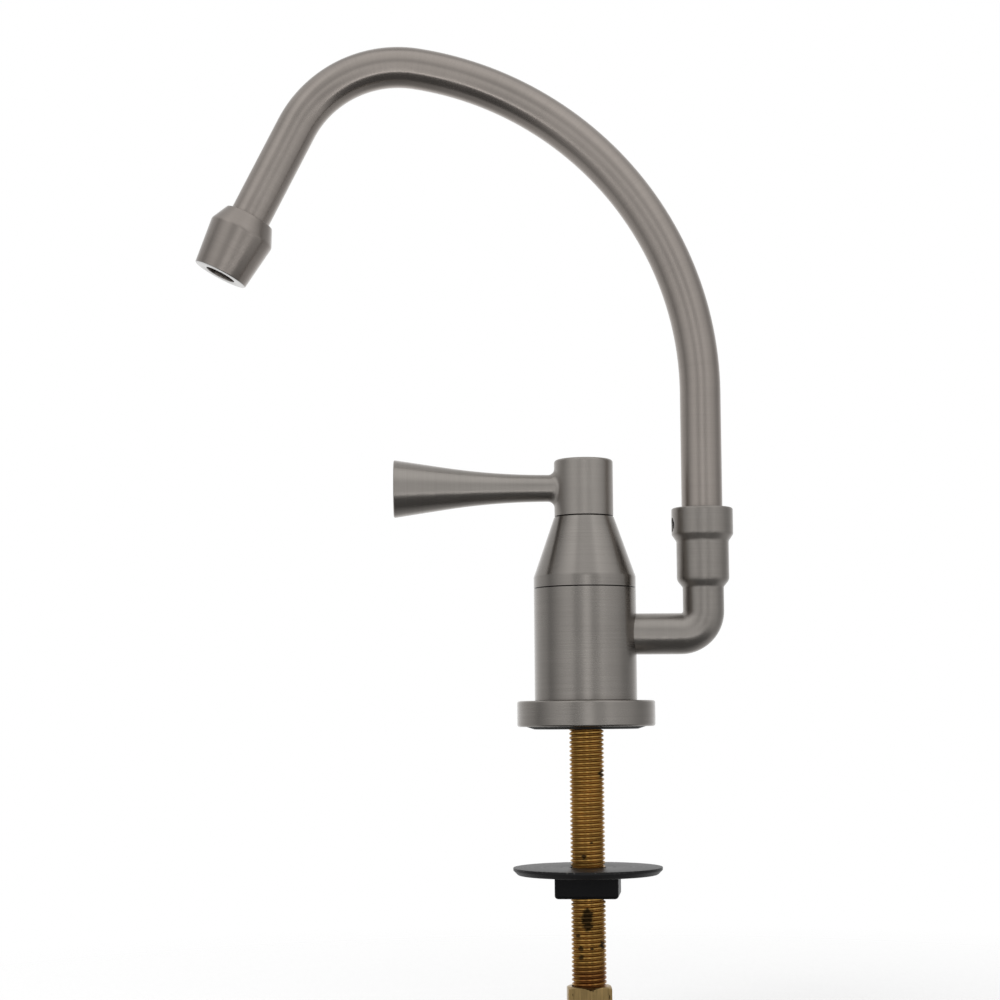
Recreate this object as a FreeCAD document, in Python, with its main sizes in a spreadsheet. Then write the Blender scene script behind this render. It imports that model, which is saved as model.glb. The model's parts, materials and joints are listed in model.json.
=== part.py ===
import FreeCAD, Part
import Sketcher
import math
import os
from types import SimpleNamespace

# Point-of-use faucet: a deck-mounted column with a quarter-turn lever and an offset swivel spout.
# Frame: the column's axis is +Z, the deck's top is at height zero, the spout reaches along -X
# and its riser stands on the +X side. Lengths are in millimetres and angles in degrees.

SIZES = {
    # Clearances
    "fit_gap": 0.05,
    "running_gap": 0.03,
    "thread_gap": 0.05,
    "loose_gap": 0.3,
    # Foot ring and its gasket
    "flange_diameter": 47.8,
    "flange_height": 8.9,
    "flange_edge": 0.8,
    "gasket_diameter": 41.0,
    "gasket_width": 5.0,
    "gasket_proud": 0.9,
    "gasket_recess": 1.6,
    # Column
    "body_diameter": 35.5,
    "body_height": 39.0,
    "body_edge": 0.2,
    "spigot_diameter": 30.0,
    "spigot_length": 6.8,
    "chamber_diameter": 22.0,
    "chamber_floor_rise": 11.2,
    "inlet_port_diameter": 8.0,
    "shank_socket_depth": 15.0,
    "bonnet_thread_diameter": 26.0,
    "cartridge_seat_depth": 7.6,
    # Conical cap
    "cap_height": 24.9,
    "cap_band_height": 3.9,
    "cap_top_diameter": 20.8,
    "cap_hole_diameter": 10.0,
    "cap_wall": 2.2,
    "cap_shoulder_radius": 2.5,
    "cap_edge": 0.2,
    "cap_spigot_diameter": 31.0,
    "cap_spigot_length": 3.2,
    "cap_spigot_wall": 2.0,
    # Quarter-turn cartridge
    "seat_seal_height": 2.2,
    "seat_seal_width": 1.3,
    "disc_diameter": 14.4,
    "disc_thickness": 3.0,
    "disc_gap": 0.02,
    "disc_port_diameter": 4.2,
    "disc_port_offset": 3.6,
    "barrel_wall": 1.7,
    "barrel_rise": 0.6,
    "window_width": 8.0,
    "guide_height": 4.0,
    "collar_height": 2.0,
    "neck_diameter": 13.0,
    "neck_below_cap": 7.5,
    "cartridge_cord": 1.6,
    "groove_play": 0.4,
    "bonnet_nut_height": 5.0,
    "bonnet_slot_width": 3.0,
    "bonnet_slot_depth": 2.0,
    "stem_diameter": 8.0,
    "stem_foot_height": 3.0,
    "stem_tongue_width": 3.0,
    "stem_tongue_height": 1.2,
    "stem_cord": 1.4,
    "stem_ring_rise": 6.0,
    "stem_ring_pitch": 6.0,
    "stem_square": 5.6,
    "circlip_thickness": 0.8,
    "circlip_width": 2.6,
    "circlip_groove_depth": 0.85,
    "circlip_play": 0.2,
    # Handle: hub and horn-shaped lever
    "hub_diameter": 20.5,
    "hub_height": 19.7,
    "hub_gap": 0.35,
    "hub_edge": 1.0,
    "hub_recess_diameter": 13.0,
    "hub_recess_depth": 6.0,
    "hub_socket_depth": 9.5,
    "glide_ring_width": 3.8,
    "lever_rise": 9.85,
    "lever_reach": 66.3,
    "lever_root_reach": 8.0,
    "lever_throat_reach": 13.0,
    "lever_throat_diameter": 9.4,
    "lever_end_diameter": 20.2,
    "lever_flare_length": 17.5,
    "lever_root_radius": 2.2,
    "lever_edge": 0.5,
    "handle_screw_diameter": 4.0,
    "handle_screw_length": 6.4,
    "handle_screw_rise": 11.0,
    # Outlet elbow with the spout's cup and ring
    "arm_diameter": 14.3,
    "arm_rise": 23.0,
    "arm_seat_depth": 3.2,
    "arm_spigot_diameter": 11.0,
    "arm_spigot_inset": 0.85,
    "arm_gasket_thickness": 0.8,
    "elbow_radius": 8.0,
    "riser_offset": 41.4,
    "waterway_diameter": 8.0,
    "cup_diameter": 18.2,
    "cup_rise": 16.2,
    "cup_height": 16.0,
    "cup_taper_height": 2.4,
    "cup_shoulder_radius": 3.0,
    "cup_neck_radius": 0.8,
    "ring_diameter": 21.4,
    "ring_height": 9.2,
    "ring_slope_height": 2.4,
    "ring_slope_radius": 1.0,
    "ring_upper_edge": 0.6,
    "spout_screw_diameter": 5.0,
    "spout_screw_height": 3.4,
    "spout_screw_azimuth": 4.0,
    "spout_screw_inset": 0.5,
    "spout_screw_tip_diameter": 2.5,
    "spout_screw_tip_length": 1.6,
    # Spout tube and what is in its foot
    "tube_diameter": 14.3,
    "tube_wall": 1.0,
    "tube_seat_depth": 2.6,
    "cup_socket_depth": 24.4,
    "thrust_washer_thickness": 0.8,
    "fitting_spigot_length": 8.0,
    "spout_cord": 1.8,
    "spout_ring_rise": 4.5,
    "spout_ring_pitch": 5.0,
    "retaining_groove_depth": 1.6,
    "retaining_groove_width": 4.0,
    "bend_height": 117.6,
    "bend_radius": 117.5,
    "bend_angle": 81.0,
    "crook_radius": 40.5,
    "outlet_tilt": 27.0,
    "outlet_length": 58.6,
    # Nozzle
    "nozzle_length": 22.6,
    "nozzle_mouth_diameter": 19.4,
    "nozzle_waist_height": 16.5,
    "nozzle_waist_diameter": 23.3,
    "nozzle_collar_diameter": 17.6,
    "nozzle_edge": 0.4,
    "nozzle_waist_radius": 1.6,
    "outlet_bore_diameter": 10.8,
    "outlet_bore_depth": 9.2,
    "nozzle_gasket_thickness": 0.8,
    "straightener_diameter": 12.0,
    "straightener_thickness": 2.8,
    "straightener_hole_diameter": 1.6,
    "straightener_hole_circle": 6.8,
    # Shank, inlet adapter, washer and nut below the deck
    "shank_diameter": 12.0,
    "shank_bore_diameter": 7.0,
    "shank_end_chamfer": 0.6,
    "shank_gasket_thickness": 1.5,
    "hex_drop": 87.7,
    "hex_flats": 15.0,
    "hex_height": 14.0,
    "hex_chamfer": 1.0,
    "hex_chamfer_inset": 0.3,
    "adapter_socket_depth": 8.0,
    "adapter_washer_thickness": 1.2,
    "stub_diameter": 11.1,
    "stub_length": 9.0,
    "stub_bore_diameter": 5.0,
    "stub_chamfer": 0.8,
    "washer_drop": 47.4,
    "washer_diameter": 51.5,
    "washer_thickness": 2.5,
    "washer_bevel": 1.4,
    "nut_width": 21.8,
    "nut_height": 7.6,
    "nut_corner": 1.6,
    "nut_edge": 1.2,
    "nut_turn": -7.5,
    # Sockets of the grub screws
    "screw_socket_share": 0.3,
    "screw_socket_depth": 2.0,
}
STRAIGHTENER_HOLES = 8
DISC_PORTS = 2
HEX_SIDES = 6

FULL_TURN = 360.0
HALF_TURN = 180.0
QUARTER_TURN = 90.0
NEAR = 1e-4
SKETCH_NORMAL = FreeCAD.Vector(0, 0, 1)
UPRIGHT_AXIS = FreeCAD.Vector(0, 0, 1)
CROSS_AXIS = FreeCAD.Vector(0, 1, 0)
LEVEL_AXIS = FreeCAD.Vector(1, 0, 0)

doc = FreeCAD.newDocument("point_of_use_faucet")
sheet = doc.addObject("Spreadsheet::Sheet", "Sizes")
for row, (alias, size_value) in enumerate(SIZES.items(), start=1):
    sheet.set(f"A{row}", alias)
    sheet.set(f"B{row}", str(size_value))
    sheet.setAlias(f"B{row}", alias)
doc.recompute()


def number(item):
    """The plain number of a size or a number."""
    return item.value if isinstance(item, Size) else float(item)


def words(item):
    """The expression text of a size or a number."""
    return item.text if isinstance(item, Size) else str(item)


class Size:
    """A size worked out from the sheet: its number, and the expression that binds it."""

    def __init__(self, value, text):
        self.value = value
        self.text = text

    def __add__(self, other):
        return Size(self.value + number(other), f"({self.text} + {words(other)})")

    def __sub__(self, other):
        return Size(self.value - number(other), f"({self.text} - {words(other)})")

    def __mul__(self, other):
        return Size(self.value * number(other), f"({self.text} * {words(other)})")

    def __truediv__(self, other):
        return Size(self.value / number(other), f"({self.text} / {words(other)})")

    def __neg__(self):
        return Size(-self.value, f"(0 - {self.text})")


def cosine(angle):
    return Size(math.cos(math.radians(number(angle))), f"cos({words(angle)})")


def sine(angle):
    return Size(math.sin(math.radians(number(angle))), f"sin({words(angle)})")


def bind(item, prop, amount):
    """Set a property to a size, bound to the sheet."""
    item.setExpression(prop, words(amount))


size = SimpleNamespace(**{name: Size(float(sheet.get(name)), f"Sizes.{name}") for name in SIZES})

# Heights of the column, from the deck up
flange_bottom = size.gasket_proud
flange_top = flange_bottom + size.flange_height
body_top = flange_top + size.body_height
spigot_bottom = flange_top - size.spigot_length
chamber_floor = flange_top + size.chamber_floor_rise
shank_socket_top = spigot_bottom + size.shank_socket_depth
cartridge_seat = body_top - size.cartridge_seat_depth
cap_bottom = body_top - size.cap_spigot_length
cap_band_top = body_top + size.cap_band_height
cap_top = body_top + size.cap_height
hub_bottom = cap_top + size.hub_gap
hub_top = hub_bottom + size.hub_height
hub_recess_top = hub_bottom + size.hub_recess_depth
lever_axis = hub_bottom + size.lever_rise

# Cartridge, from the chamber's floor up
fixed_disc_bottom = chamber_floor + size.seat_seal_height
moving_disc_bottom = fixed_disc_bottom + size.disc_thickness + size.disc_gap
foot_bottom = moving_disc_bottom + size.disc_thickness
foot_top = foot_bottom + size.stem_foot_height
barrel_ceiling = foot_top + size.loose_gap
barrel_bottom = chamber_floor + size.barrel_rise
guide_bottom = cartridge_seat - size.guide_height
collar_top = cartridge_seat + size.collar_height
bonnet_nut_top = collar_top + size.bonnet_nut_height
neck_top = cap_top - size.neck_below_cap
circlip_bottom = neck_top + size.circlip_play

# Outlet elbow
arm_axis = flange_top + size.arm_rise
arm_floor = size.body_diameter / 2 - size.arm_seat_depth
arm_start = arm_floor + size.arm_gasket_thickness
spigot_end = size.chamber_diameter / 2 + size.arm_spigot_inset
cup_bottom = arm_axis + size.cup_rise
cup_shoulder = cup_bottom + size.cup_taper_height
slope_bottom = cup_bottom + size.cup_height
ring_bottom = slope_bottom + size.ring_slope_height
ring_top = ring_bottom + size.ring_height
cup_floor = ring_top - size.cup_socket_depth
fitting_bottom = cup_floor + size.thrust_washer_thickness + size.fit_gap
tube_bottom = ring_top - size.tube_seat_depth
spout_screw_axis = ring_bottom + size.spout_screw_height

# The spout's centreline: up the riser, round the bend and the crook, and down to the outlet
bend_end_x = size.riser_offset - size.bend_radius + size.bend_radius * cosine(size.bend_angle)
bend_end_z = size.bend_height + size.bend_radius * sine(size.bend_angle)
crook_centre_x = bend_end_x - size.crook_radius * cosine(size.bend_angle)
crook_centre_z = bend_end_z - size.crook_radius * sine(size.bend_angle)
crook_end_x = crook_centre_x - size.crook_radius * cosine(size.outlet_tilt)
crook_end_z = crook_centre_z + size.crook_radius * sine(size.outlet_tilt)
outlet_x = crook_end_x - size.outlet_length * sine(size.outlet_tilt)
outlet_z = crook_end_z - size.outlet_length * cosine(size.outlet_tilt)
nozzle_seat = size.outlet_bore_depth + size.straightener_thickness
tube_end = nozzle_seat + size.nozzle_gasket_thickness

# Below the deck
shank_top = shank_socket_top - size.shank_gasket_thickness
hex_top = -size.hex_drop
hex_bottom = hex_top - size.hex_height
adapter_floor = hex_top - size.adapter_socket_depth
shank_bottom = adapter_floor + size.adapter_washer_thickness
stub_bottom = hex_bottom - size.stub_length
washer_top = -size.washer_drop
washer_bottom = washer_top - size.washer_thickness
nut_top = washer_bottom - size.fit_gap

# Radii that more than one piece shares
body_r = size.body_diameter / 2
chamber_r = size.chamber_diameter / 2
disc_bore_r = size.disc_diameter / 2 + size.fit_gap
stem_r = size.stem_diameter / 2
stem_bore_r = stem_r + size.running_gap
neck_r = size.neck_diameter / 2
guide_r = chamber_r - size.fit_gap
waterway_r = size.waterway_diameter / 2
tube_r = size.tube_diameter / 2
tube_bore_r = tube_r - size.tube_wall
socket_r = tube_r + size.fit_gap
shank_r = size.shank_diameter / 2
shank_thread_r = shank_r + size.thread_gap
outlet_bore_r = size.outlet_bore_diameter / 2

parts = []


def new_body(label):
    body = doc.addObject("PartDesign::Body", label)
    body.Label = label
    parts.append(body)
    return body


def new_sketch(body, plane, name, offset=None):
    """A sketch on one of the body's own origin planes, moved along its normal by offset."""
    sketch = body.newObject("Sketcher::SketchObject", f"{body.Label}_{name}")
    support = next(item for item in body.Origin.OriginFeatures if item.Role == plane)
    sketch.AttachmentSupport = [(support, "")]
    sketch.MapMode = "FlatFace"
    if offset is not None:
        bind(sketch, "AttachmentOffset.Base.z", offset)
    return sketch


def dimension(sketch, kind, target, amount, start=None):
    """A dimension bound to the sheet; start is the number it is drawn with."""
    drawn = number(amount) if start is None else start
    index = sketch.addConstraint(Sketcher.Constraint(kind, *target, drawn))
    bind(sketch, f"Constraints[{index}]", amount)


def pin(sketch, shape_id, end, across, up):
    """Hold one end of a line at its two coordinates; a plain zero puts it on the axis."""
    for kind, amount, axis in (("DistanceX", across, -2), ("DistanceY", up, -1)):
        if isinstance(amount, Size):
            dimension(sketch, kind, (-1, 1, shape_id, end), amount)
        else:
            sketch.addConstraint(Sketcher.Constraint("PointOnObject", shape_id, end, axis))


def draw_outline(sketch, points):
    """A closed outline of straight lines through points given as pairs of sizes."""
    corners = [FreeCAD.Vector(number(across), number(up), 0) for across, up in points]
    count = len(points)
    first = sketch.GeometryCount
    for index in range(count):
        sketch.addGeometry(Part.LineSegment(corners[index], corners[(index + 1) % count]), False)
    for index in range(count):
        following = first + (index + 1) % count
        sketch.addConstraint(Sketcher.Constraint("Coincident", first + index, 2, following, 1))
    for index, (across, up) in enumerate(points):
        pin(sketch, first + index, 1, across, up)


def draw_circle(sketch, radius, across=0, up=0):
    centre = FreeCAD.Vector(number(across), number(up), 0)
    shape_id = sketch.addGeometry(Part.Circle(centre, SKETCH_NORMAL, number(radius)), False)
    pin(sketch, shape_id, 3, across, up)
    dimension(sketch, "Radius", (shape_id,), radius)


def rectangle(left, right, low, high):
    return [(left, low), (right, low), (right, high), (left, high)]


def revolve(body, points, name="turning", kind="PartDesign::Revolution"):
    """Turn an outline of (radius, height) points about the body's own vertical axis."""
    sketch = new_sketch(body, "XZ_Plane", name + "_outline")
    draw_outline(sketch, points)
    feature = body.newObject(kind, f"{body.Label}_{name}")
    feature.Profile = sketch
    feature.ReferenceAxis = (sketch, ["V_Axis"])
    feature.Angle = FULL_TURN


def turned(label, points):
    body = new_body(label)
    revolve(body, points)
    return body


def ring(label, inner, outer, low, high):
    return turned(label, rectangle(inner, outer, low, high))


def extrude(body, sketch, length, name, kind="PartDesign::Pad", backwards=False, both_ways=False):
    feature = body.newObject(kind, f"{body.Label}_{name}")
    feature.Profile = sketch
    bind(feature, "Length", length)
    feature.Reversed = backwards
    if both_ways:
        feature.Midplane = True
    return feature


def circles_at(shape, spots):
    """Names of the round edges that lie on the vertical axis at the given (radius, height) spots."""
    names = []
    for index, edge in enumerate(shape.Edges, start=1):
        if not isinstance(edge.Curve, Part.Circle):
            continue
        centre = edge.Curve.Center
        off_axis = math.hypot(centre.x, centre.y)
        for radius, height in spots:
            misses = (off_axis, edge.Curve.Radius - number(radius), centre.z - number(height))
            if max(abs(miss) for miss in misses) < NEAR:
                names.append(f"Edge{index}")
    return names


def edges_where(body, wanted):
    """Names of the edges of the body's last feature that the test picks out."""
    doc.recompute()
    return [f"Edge{index}" for index, edge in enumerate(body.Tip.Shape.Edges, start=1) if wanted(edge)]


def finish_edges(body, names, amount, kind="Fillet"):
    """Round or chamfer the named edges of the body's last feature."""
    base = body.Tip
    feature = body.newObject(f"PartDesign::{kind}", f"{body.Label}_{kind.lower()}")
    feature.Base = (base, names)
    bind(feature, "Radius" if kind == "Fillet" else "Size", amount)
    return feature


def finish_rims(body, spots, amount, kind="Fillet"):
    """Round or chamfer the rims at (radius, height) spots."""
    doc.recompute()
    shape = body.Tip.Shape
    return finish_edges(body, circles_at(shape, spots), amount, kind)


def place(item, across=None, up=None, rotation=None):
    """Put a piece's own axis at a distance along X and a height, with an optional rotation."""
    if rotation is not None:
        item.Placement = FreeCAD.Placement(FreeCAD.Vector(), rotation)
    if across is not None:
        bind(item, "Placement.Base.x", across)
    if up is not None:
        bind(item, "Placement.Base.z", up)


def place_at_outlet(body):
    """The outlet's own frame: its origin is the middle of the mouth, its axis runs up the tube."""
    tilt = FreeCAD.Rotation(CROSS_AXIS, number(size.outlet_tilt))
    place(body, outlet_x, outlet_z, tilt)


def o_rings(label, radius, cord, heights, across=None):
    """O-rings of one cord size, one above the other."""
    rings = []
    for index, height in enumerate(heights):
        torus = doc.addObject("Part::Torus", f"{label}_{index}" if len(heights) > 1 else label)
        bind(torus, "Radius1", radius)
        bind(torus, "Radius2", cord / 2)
        place(torus, across, height)
        rings.append(torus)
    if len(rings) == 1:
        group = rings[0]
    else:
        group = doc.addObject("Part::Compound", label)
        group.Links = rings
    group.Label = label
    parts.append(group)


def groove_outline(radius, depth, low, high):
    """Outline points of a groove in a turned wall, from its lower edge to its upper edge."""
    return [(radius, low), (radius - depth, low), (radius - depth, high), (radius, high)]


def ring_groove(radius, cord, middle):
    """Outline points of a groove for an O-ring, as deep as the cord and a little wider."""
    half = (cord + size.groove_play) / 2
    return groove_outline(radius, cord, middle - half, middle + half)


def make_foot():
    gasket_r = size.gasket_diameter / 2
    gasket_top = flange_bottom + size.gasket_recess
    ring("base_gasket", gasket_r - size.gasket_width, gasket_r, 0, gasket_top)

    flange_r = size.flange_diameter / 2
    bore_r = size.spigot_diameter / 2 + size.fit_gap
    recess_r = gasket_r + size.fit_gap
    flange = turned("base_flange", [
        (bore_r, gasket_top), (recess_r, gasket_top), (recess_r, flange_bottom),
        (flange_r, flange_bottom), (flange_r, flange_top), (bore_r, flange_top),
    ])
    finish_rims(flange, [(flange_r, flange_bottom), (flange_r, flange_top)], size.flange_edge)


def make_valve_body():
    spigot_r = size.spigot_diameter / 2
    port_r = size.inlet_port_diameter / 2
    nut_r = size.bonnet_thread_diameter / 2
    counterbore_r = size.cap_spigot_diameter / 2 + size.fit_gap
    counterbore_floor = cap_bottom - size.fit_gap
    body = turned("valve_body", [
        (shank_thread_r, spigot_bottom), (spigot_r, spigot_bottom), (spigot_r, flange_top),
        (body_r, flange_top), (body_r, body_top), (counterbore_r, body_top),
        (counterbore_r, counterbore_floor), (nut_r, counterbore_floor), (nut_r, cartridge_seat),
        (chamber_r, cartridge_seat), (chamber_r, chamber_floor), (port_r, chamber_floor),
        (port_r, shank_socket_top), (shank_thread_r, shank_socket_top),
    ])
    finish_rims(body, [(body_r, flange_top), (body_r, body_top)], size.body_edge, "Chamfer")
    # The arm's seat and port, cut out through the +X side; the port starts inside the chamber
    for name, radius, floor in (
        ("arm_seat", size.arm_diameter / 2 + size.fit_gap, arm_floor),
        ("arm_port", size.arm_spigot_diameter / 2 + size.fit_gap, None),
    ):
        sketch = new_sketch(body, "YZ_Plane", name + "_outline", floor)
        draw_circle(sketch, radius, 0, arm_axis)
        extrude(body, sketch, size.body_diameter, name, "PartDesign::Pocket", backwards=True)


def make_cap():
    spigot_r = size.cap_spigot_diameter / 2
    inner_r = spigot_r - size.cap_spigot_wall
    top_r = size.cap_top_diameter / 2
    hole_r = size.cap_hole_diameter / 2
    cap = turned("bonnet_cap", [
        (inner_r, cap_bottom), (spigot_r, cap_bottom), (spigot_r, body_top), (body_r, body_top),
        (body_r, cap_band_top), (top_r, cap_top), (hole_r, cap_top), (hole_r, cap_top - size.cap_wall),
        (top_r - size.cap_wall, cap_top - size.cap_wall), (inner_r, cap_band_top),
    ])
    finish_rims(cap, [(body_r, body_top), (top_r, cap_top)], size.cap_edge, "Chamfer")
    finish_rims(cap, [(body_r, cap_band_top)], size.cap_shoulder_radius)


def disc_with_ports(label, bottom, along_y):
    """A ceramic disc with two opposite round ports, along X or along Y."""
    body = new_body(label)
    outline = new_sketch(body, "XY_Plane", "outline", bottom)
    draw_circle(outline, size.disc_diameter / 2)
    extrude(body, outline, size.disc_thickness, "disc")
    port = new_sketch(body, "XY_Plane", "port_outline", bottom)
    offset = size.disc_port_offset
    draw_circle(port, size.disc_port_diameter / 2, 0 if along_y else offset, offset if along_y else 0)
    cut = extrude(body, port, size.disc_thickness, "port", "PartDesign::Pocket", backwards=True)
    repeat_round(body, cut, port, DISC_PORTS, "ports")
    return body


def repeat_round(body, feature, sketch, count, name):
    """Repeat a feature round the body's vertical axis."""
    pattern = body.newObject("PartDesign::PolarPattern", f"{body.Label}_{name}")
    pattern.Originals = [feature]
    pattern.Axis = (sketch, ["N_Axis"])
    pattern.Angle = FULL_TURN
    pattern.Occurrences = count
    body.Tip = pattern


def make_cartridge():
    seal_r = size.disc_diameter / 2
    ring("cartridge_seat_seal", seal_r - size.seat_seal_width, seal_r, chamber_floor, fixed_disc_bottom)
    disc_with_ports("fixed_disc", fixed_disc_bottom, along_y=False)
    make_moving_disc()

    barrel_r = disc_bore_r + size.barrel_wall
    collar_r = size.bonnet_thread_diameter / 2 - size.thread_gap
    groove_middle = (guide_bottom + cartridge_seat) / 2
    housing = turned("cartridge_housing", [
        (disc_bore_r, barrel_bottom), (barrel_r, barrel_bottom), (barrel_r, guide_bottom),
        (guide_r, guide_bottom),
        *ring_groove(guide_r, size.cartridge_cord, groove_middle),
        (guide_r, cartridge_seat), (collar_r, cartridge_seat), (collar_r, collar_top),
        (neck_r, collar_top), (neck_r, neck_top), (stem_bore_r, neck_top),
        (stem_bore_r, barrel_ceiling), (disc_bore_r, barrel_ceiling),
    ])
    half_window = size.window_width / 2
    window = new_sketch(housing, "XZ_Plane", "window_outline")
    draw_outline(window, rectangle(-half_window, half_window, moving_disc_bottom, foot_top))
    extrude(housing, window, size.chamber_diameter, "windows", "PartDesign::Pocket", both_ways=True)
    o_rings("cartridge_oring", guide_r - size.cartridge_cord / 2, size.cartridge_cord, [groove_middle])

    nut = ring("bonnet_nut", neck_r + size.loose_gap, collar_r, collar_top, bonnet_nut_top)
    half_slot = size.bonnet_slot_width / 2
    slot_floor = bonnet_nut_top - size.bonnet_slot_depth
    slot = new_sketch(nut, "YZ_Plane", "slot_outline")
    draw_outline(slot, rectangle(-half_slot, half_slot, slot_floor, bonnet_nut_top))
    extrude(nut, slot, size.body_diameter, "slots", "PartDesign::Pocket", both_ways=True)


def make_moving_disc():
    disc = disc_with_ports("moving_disc", moving_disc_bottom, along_y=True)
    half_width = size.stem_tongue_width / 2 + size.fit_gap
    channel = new_sketch(disc, "XZ_Plane", "channel_outline")
    low = foot_bottom - size.stem_tongue_height - size.fit_gap
    draw_outline(channel, rectangle(-half_width, half_width, low, foot_bottom))
    extrude(disc, channel, size.chamber_diameter, "channel", "PartDesign::Pocket", both_ways=True)


def make_stem():
    foot_r = size.disc_diameter / 2 - size.fit_gap
    cord = size.stem_cord
    lower_ring = collar_top + size.stem_ring_rise
    upper_ring = lower_ring + size.stem_ring_pitch
    clip_low = circlip_bottom - size.fit_gap
    clip_high = circlip_bottom + size.circlip_thickness + size.fit_gap
    stem = turned("cartridge_stem", [
        (0, foot_bottom), (foot_r, foot_bottom), (foot_r, foot_top), (stem_r, foot_top),
        *ring_groove(stem_r, cord, lower_ring), *ring_groove(stem_r, cord, upper_ring),
        *groove_outline(stem_r, size.circlip_groove_depth, clip_low, clip_high),
        (stem_r, hub_recess_top), (0, hub_recess_top),
    ])
    half = size.stem_square / 2
    square = new_sketch(stem, "XY_Plane", "square_outline", hub_recess_top)
    draw_outline(square, rectangle(-half, half, -half, half))
    extrude(stem, square, size.hub_socket_depth - size.loose_gap, "square")
    half_tongue = size.stem_tongue_width / 2
    tongue = new_sketch(stem, "XZ_Plane", "tongue_outline")
    tongue_low = foot_bottom - size.stem_tongue_height
    draw_outline(tongue, rectangle(-half_tongue, half_tongue, tongue_low, foot_bottom))
    extrude(stem, tongue, foot_r, "tongue", both_ways=True)
    o_rings("stem_orings", stem_r - cord / 2, cord, [lower_ring, upper_ring])
    clip_r = stem_r - size.circlip_groove_depth + size.fit_gap
    ring("stem_circlip", clip_r, clip_r + size.circlip_width, circlip_bottom,
         circlip_bottom + size.circlip_thickness)


def make_handle():
    hub_r = size.hub_diameter / 2
    recess_r = size.hub_recess_diameter / 2
    handle = turned("lever_handle", [
        (recess_r, hub_bottom), (hub_r, hub_bottom), (hub_r, hub_top), (0, hub_top),
        (0, hub_recess_top), (recess_r, hub_recess_top),
    ])
    draw_horn(handle)
    # The horn runs into the hub with a rounded root, where the two round walls meet
    root = edges_where(handle, lambda edge: (
        not isinstance(edge.Curve, (Part.Circle, Part.Line)) and edge.BoundBox.XMax < 0))
    finish_edges(handle, root, size.lever_root_radius)
    finish_rims(handle, [(hub_r, hub_top)], size.hub_edge)
    end_rim = edges_where(handle, lambda edge: edge.BoundBox.XMax < NEAR - size.lever_reach.value)
    finish_edges(handle, end_rim, size.lever_edge)

    half = size.stem_square / 2 + size.fit_gap
    socket = new_sketch(handle, "XY_Plane", "socket_outline", hub_recess_top)
    draw_outline(socket, rectangle(-half, half, -half, half))
    extrude(handle, socket, size.hub_socket_depth, "socket", "PartDesign::Pocket", backwards=True)
    screw_axis = hub_bottom + size.handle_screw_rise
    hole = new_sketch(handle, "XZ_Plane", "screw_hole_outline")
    draw_circle(hole, size.handle_screw_diameter / 2, 0, screw_axis)
    extrude(handle, hole, size.hub_diameter, "screw_hole", "PartDesign::Pocket")

    backwards = FreeCAD.Rotation(LEVEL_AXIS, -QUARTER_TURN)
    screw = grub_screw("handle_set_screw", size.handle_screw_diameter, half, size.handle_screw_length)
    place(screw, up=screw_axis, rotation=backwards)

    glide_outer = hub_r - size.hub_edge
    glide_inner = glide_outer - size.glide_ring_width
    ring("handle_glide_ring", glide_inner, glide_outer, cap_top, hub_bottom - size.fit_gap)


def draw_horn(handle):
    """The lever: a throat, a long concave arc and a straight flare, turned about its own axis."""
    sketch = new_sketch(handle, "XZ_Plane", "horn_outline")
    throat_r = size.lever_throat_diameter / 2
    end_r = size.lever_end_diameter / 2
    root, throat, reach = -size.lever_root_reach, -size.lever_throat_reach, -size.lever_reach
    low = number(lever_axis)
    # The arc and the flare share a tangent where the flare starts
    flare_start = size.lever_flare_length - size.lever_reach
    run = throat.value - flare_start.value
    rise = end_r.value - throat_r.value
    slope = 2 * math.atan(rise / (run + 2 * size.lever_flare_length.value))
    curve = run / math.sin(slope)
    tangent_x = throat.value - curve * math.sin(slope)
    tangent_z = low + throat_r.value + curve * (1 - math.cos(slope))
    centre = FreeCAD.Vector(throat.value, low + throat_r.value + curve, 0)
    tip = FreeCAD.Vector(reach.value, low, 0)
    inner_end = FreeCAD.Vector(root.value, low, 0)
    inner_rim = FreeCAD.Vector(root.value, low + throat_r.value, 0)
    throat_end = FreeCAD.Vector(throat.value, low + throat_r.value, 0)
    tangent = FreeCAD.Vector(tangent_x, tangent_z, 0)
    tip_rim = FreeCAD.Vector(reach.value, low + end_r.value, 0)
    circle = Part.Circle(centre, SKETCH_NORMAL, curve)
    low_angle = -math.pi / 2
    shapes = [
        Part.LineSegment(tip, inner_end), Part.LineSegment(inner_end, inner_rim),
        Part.LineSegment(inner_rim, throat_end), Part.ArcOfCircle(circle, low_angle - slope, low_angle),
        Part.LineSegment(tangent, tip_rim), Part.LineSegment(tip_rim, tip),
    ]
    axis, root_wall, throat_wall, arc, flare, end_wall = range(len(shapes))
    sketch.addGeometry(shapes, False)
    for first, second in (
        (axis, root_wall), (root_wall, throat_wall), (flare, end_wall), (end_wall, axis),
    ):
        sketch.addConstraint(Sketcher.Constraint("Coincident", first, 2, second, 1))
    sketch.addConstraint(Sketcher.Constraint("Tangent", throat_wall, 2, arc, 2))
    sketch.addConstraint(Sketcher.Constraint("Tangent", arc, 1, flare, 1))
    pin(sketch, axis, 1, reach, lever_axis)
    pin(sketch, axis, 2, root, lever_axis)
    pin(sketch, root_wall, 2, root, lever_axis + throat_r)
    pin(sketch, throat_wall, 2, throat, lever_axis + throat_r)
    pin(sketch, flare, 2, reach, lever_axis + end_r)
    dimension(sketch, "DistanceX", (-1, 1, flare, 1), flare_start)
    horn = handle.newObject("PartDesign::Revolution", "lever_handle_horn")
    horn.Profile = sketch
    horn.ReferenceAxis = (sketch, [f"Edge{axis + 1}"])
    horn.Angle = FULL_TURN


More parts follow.
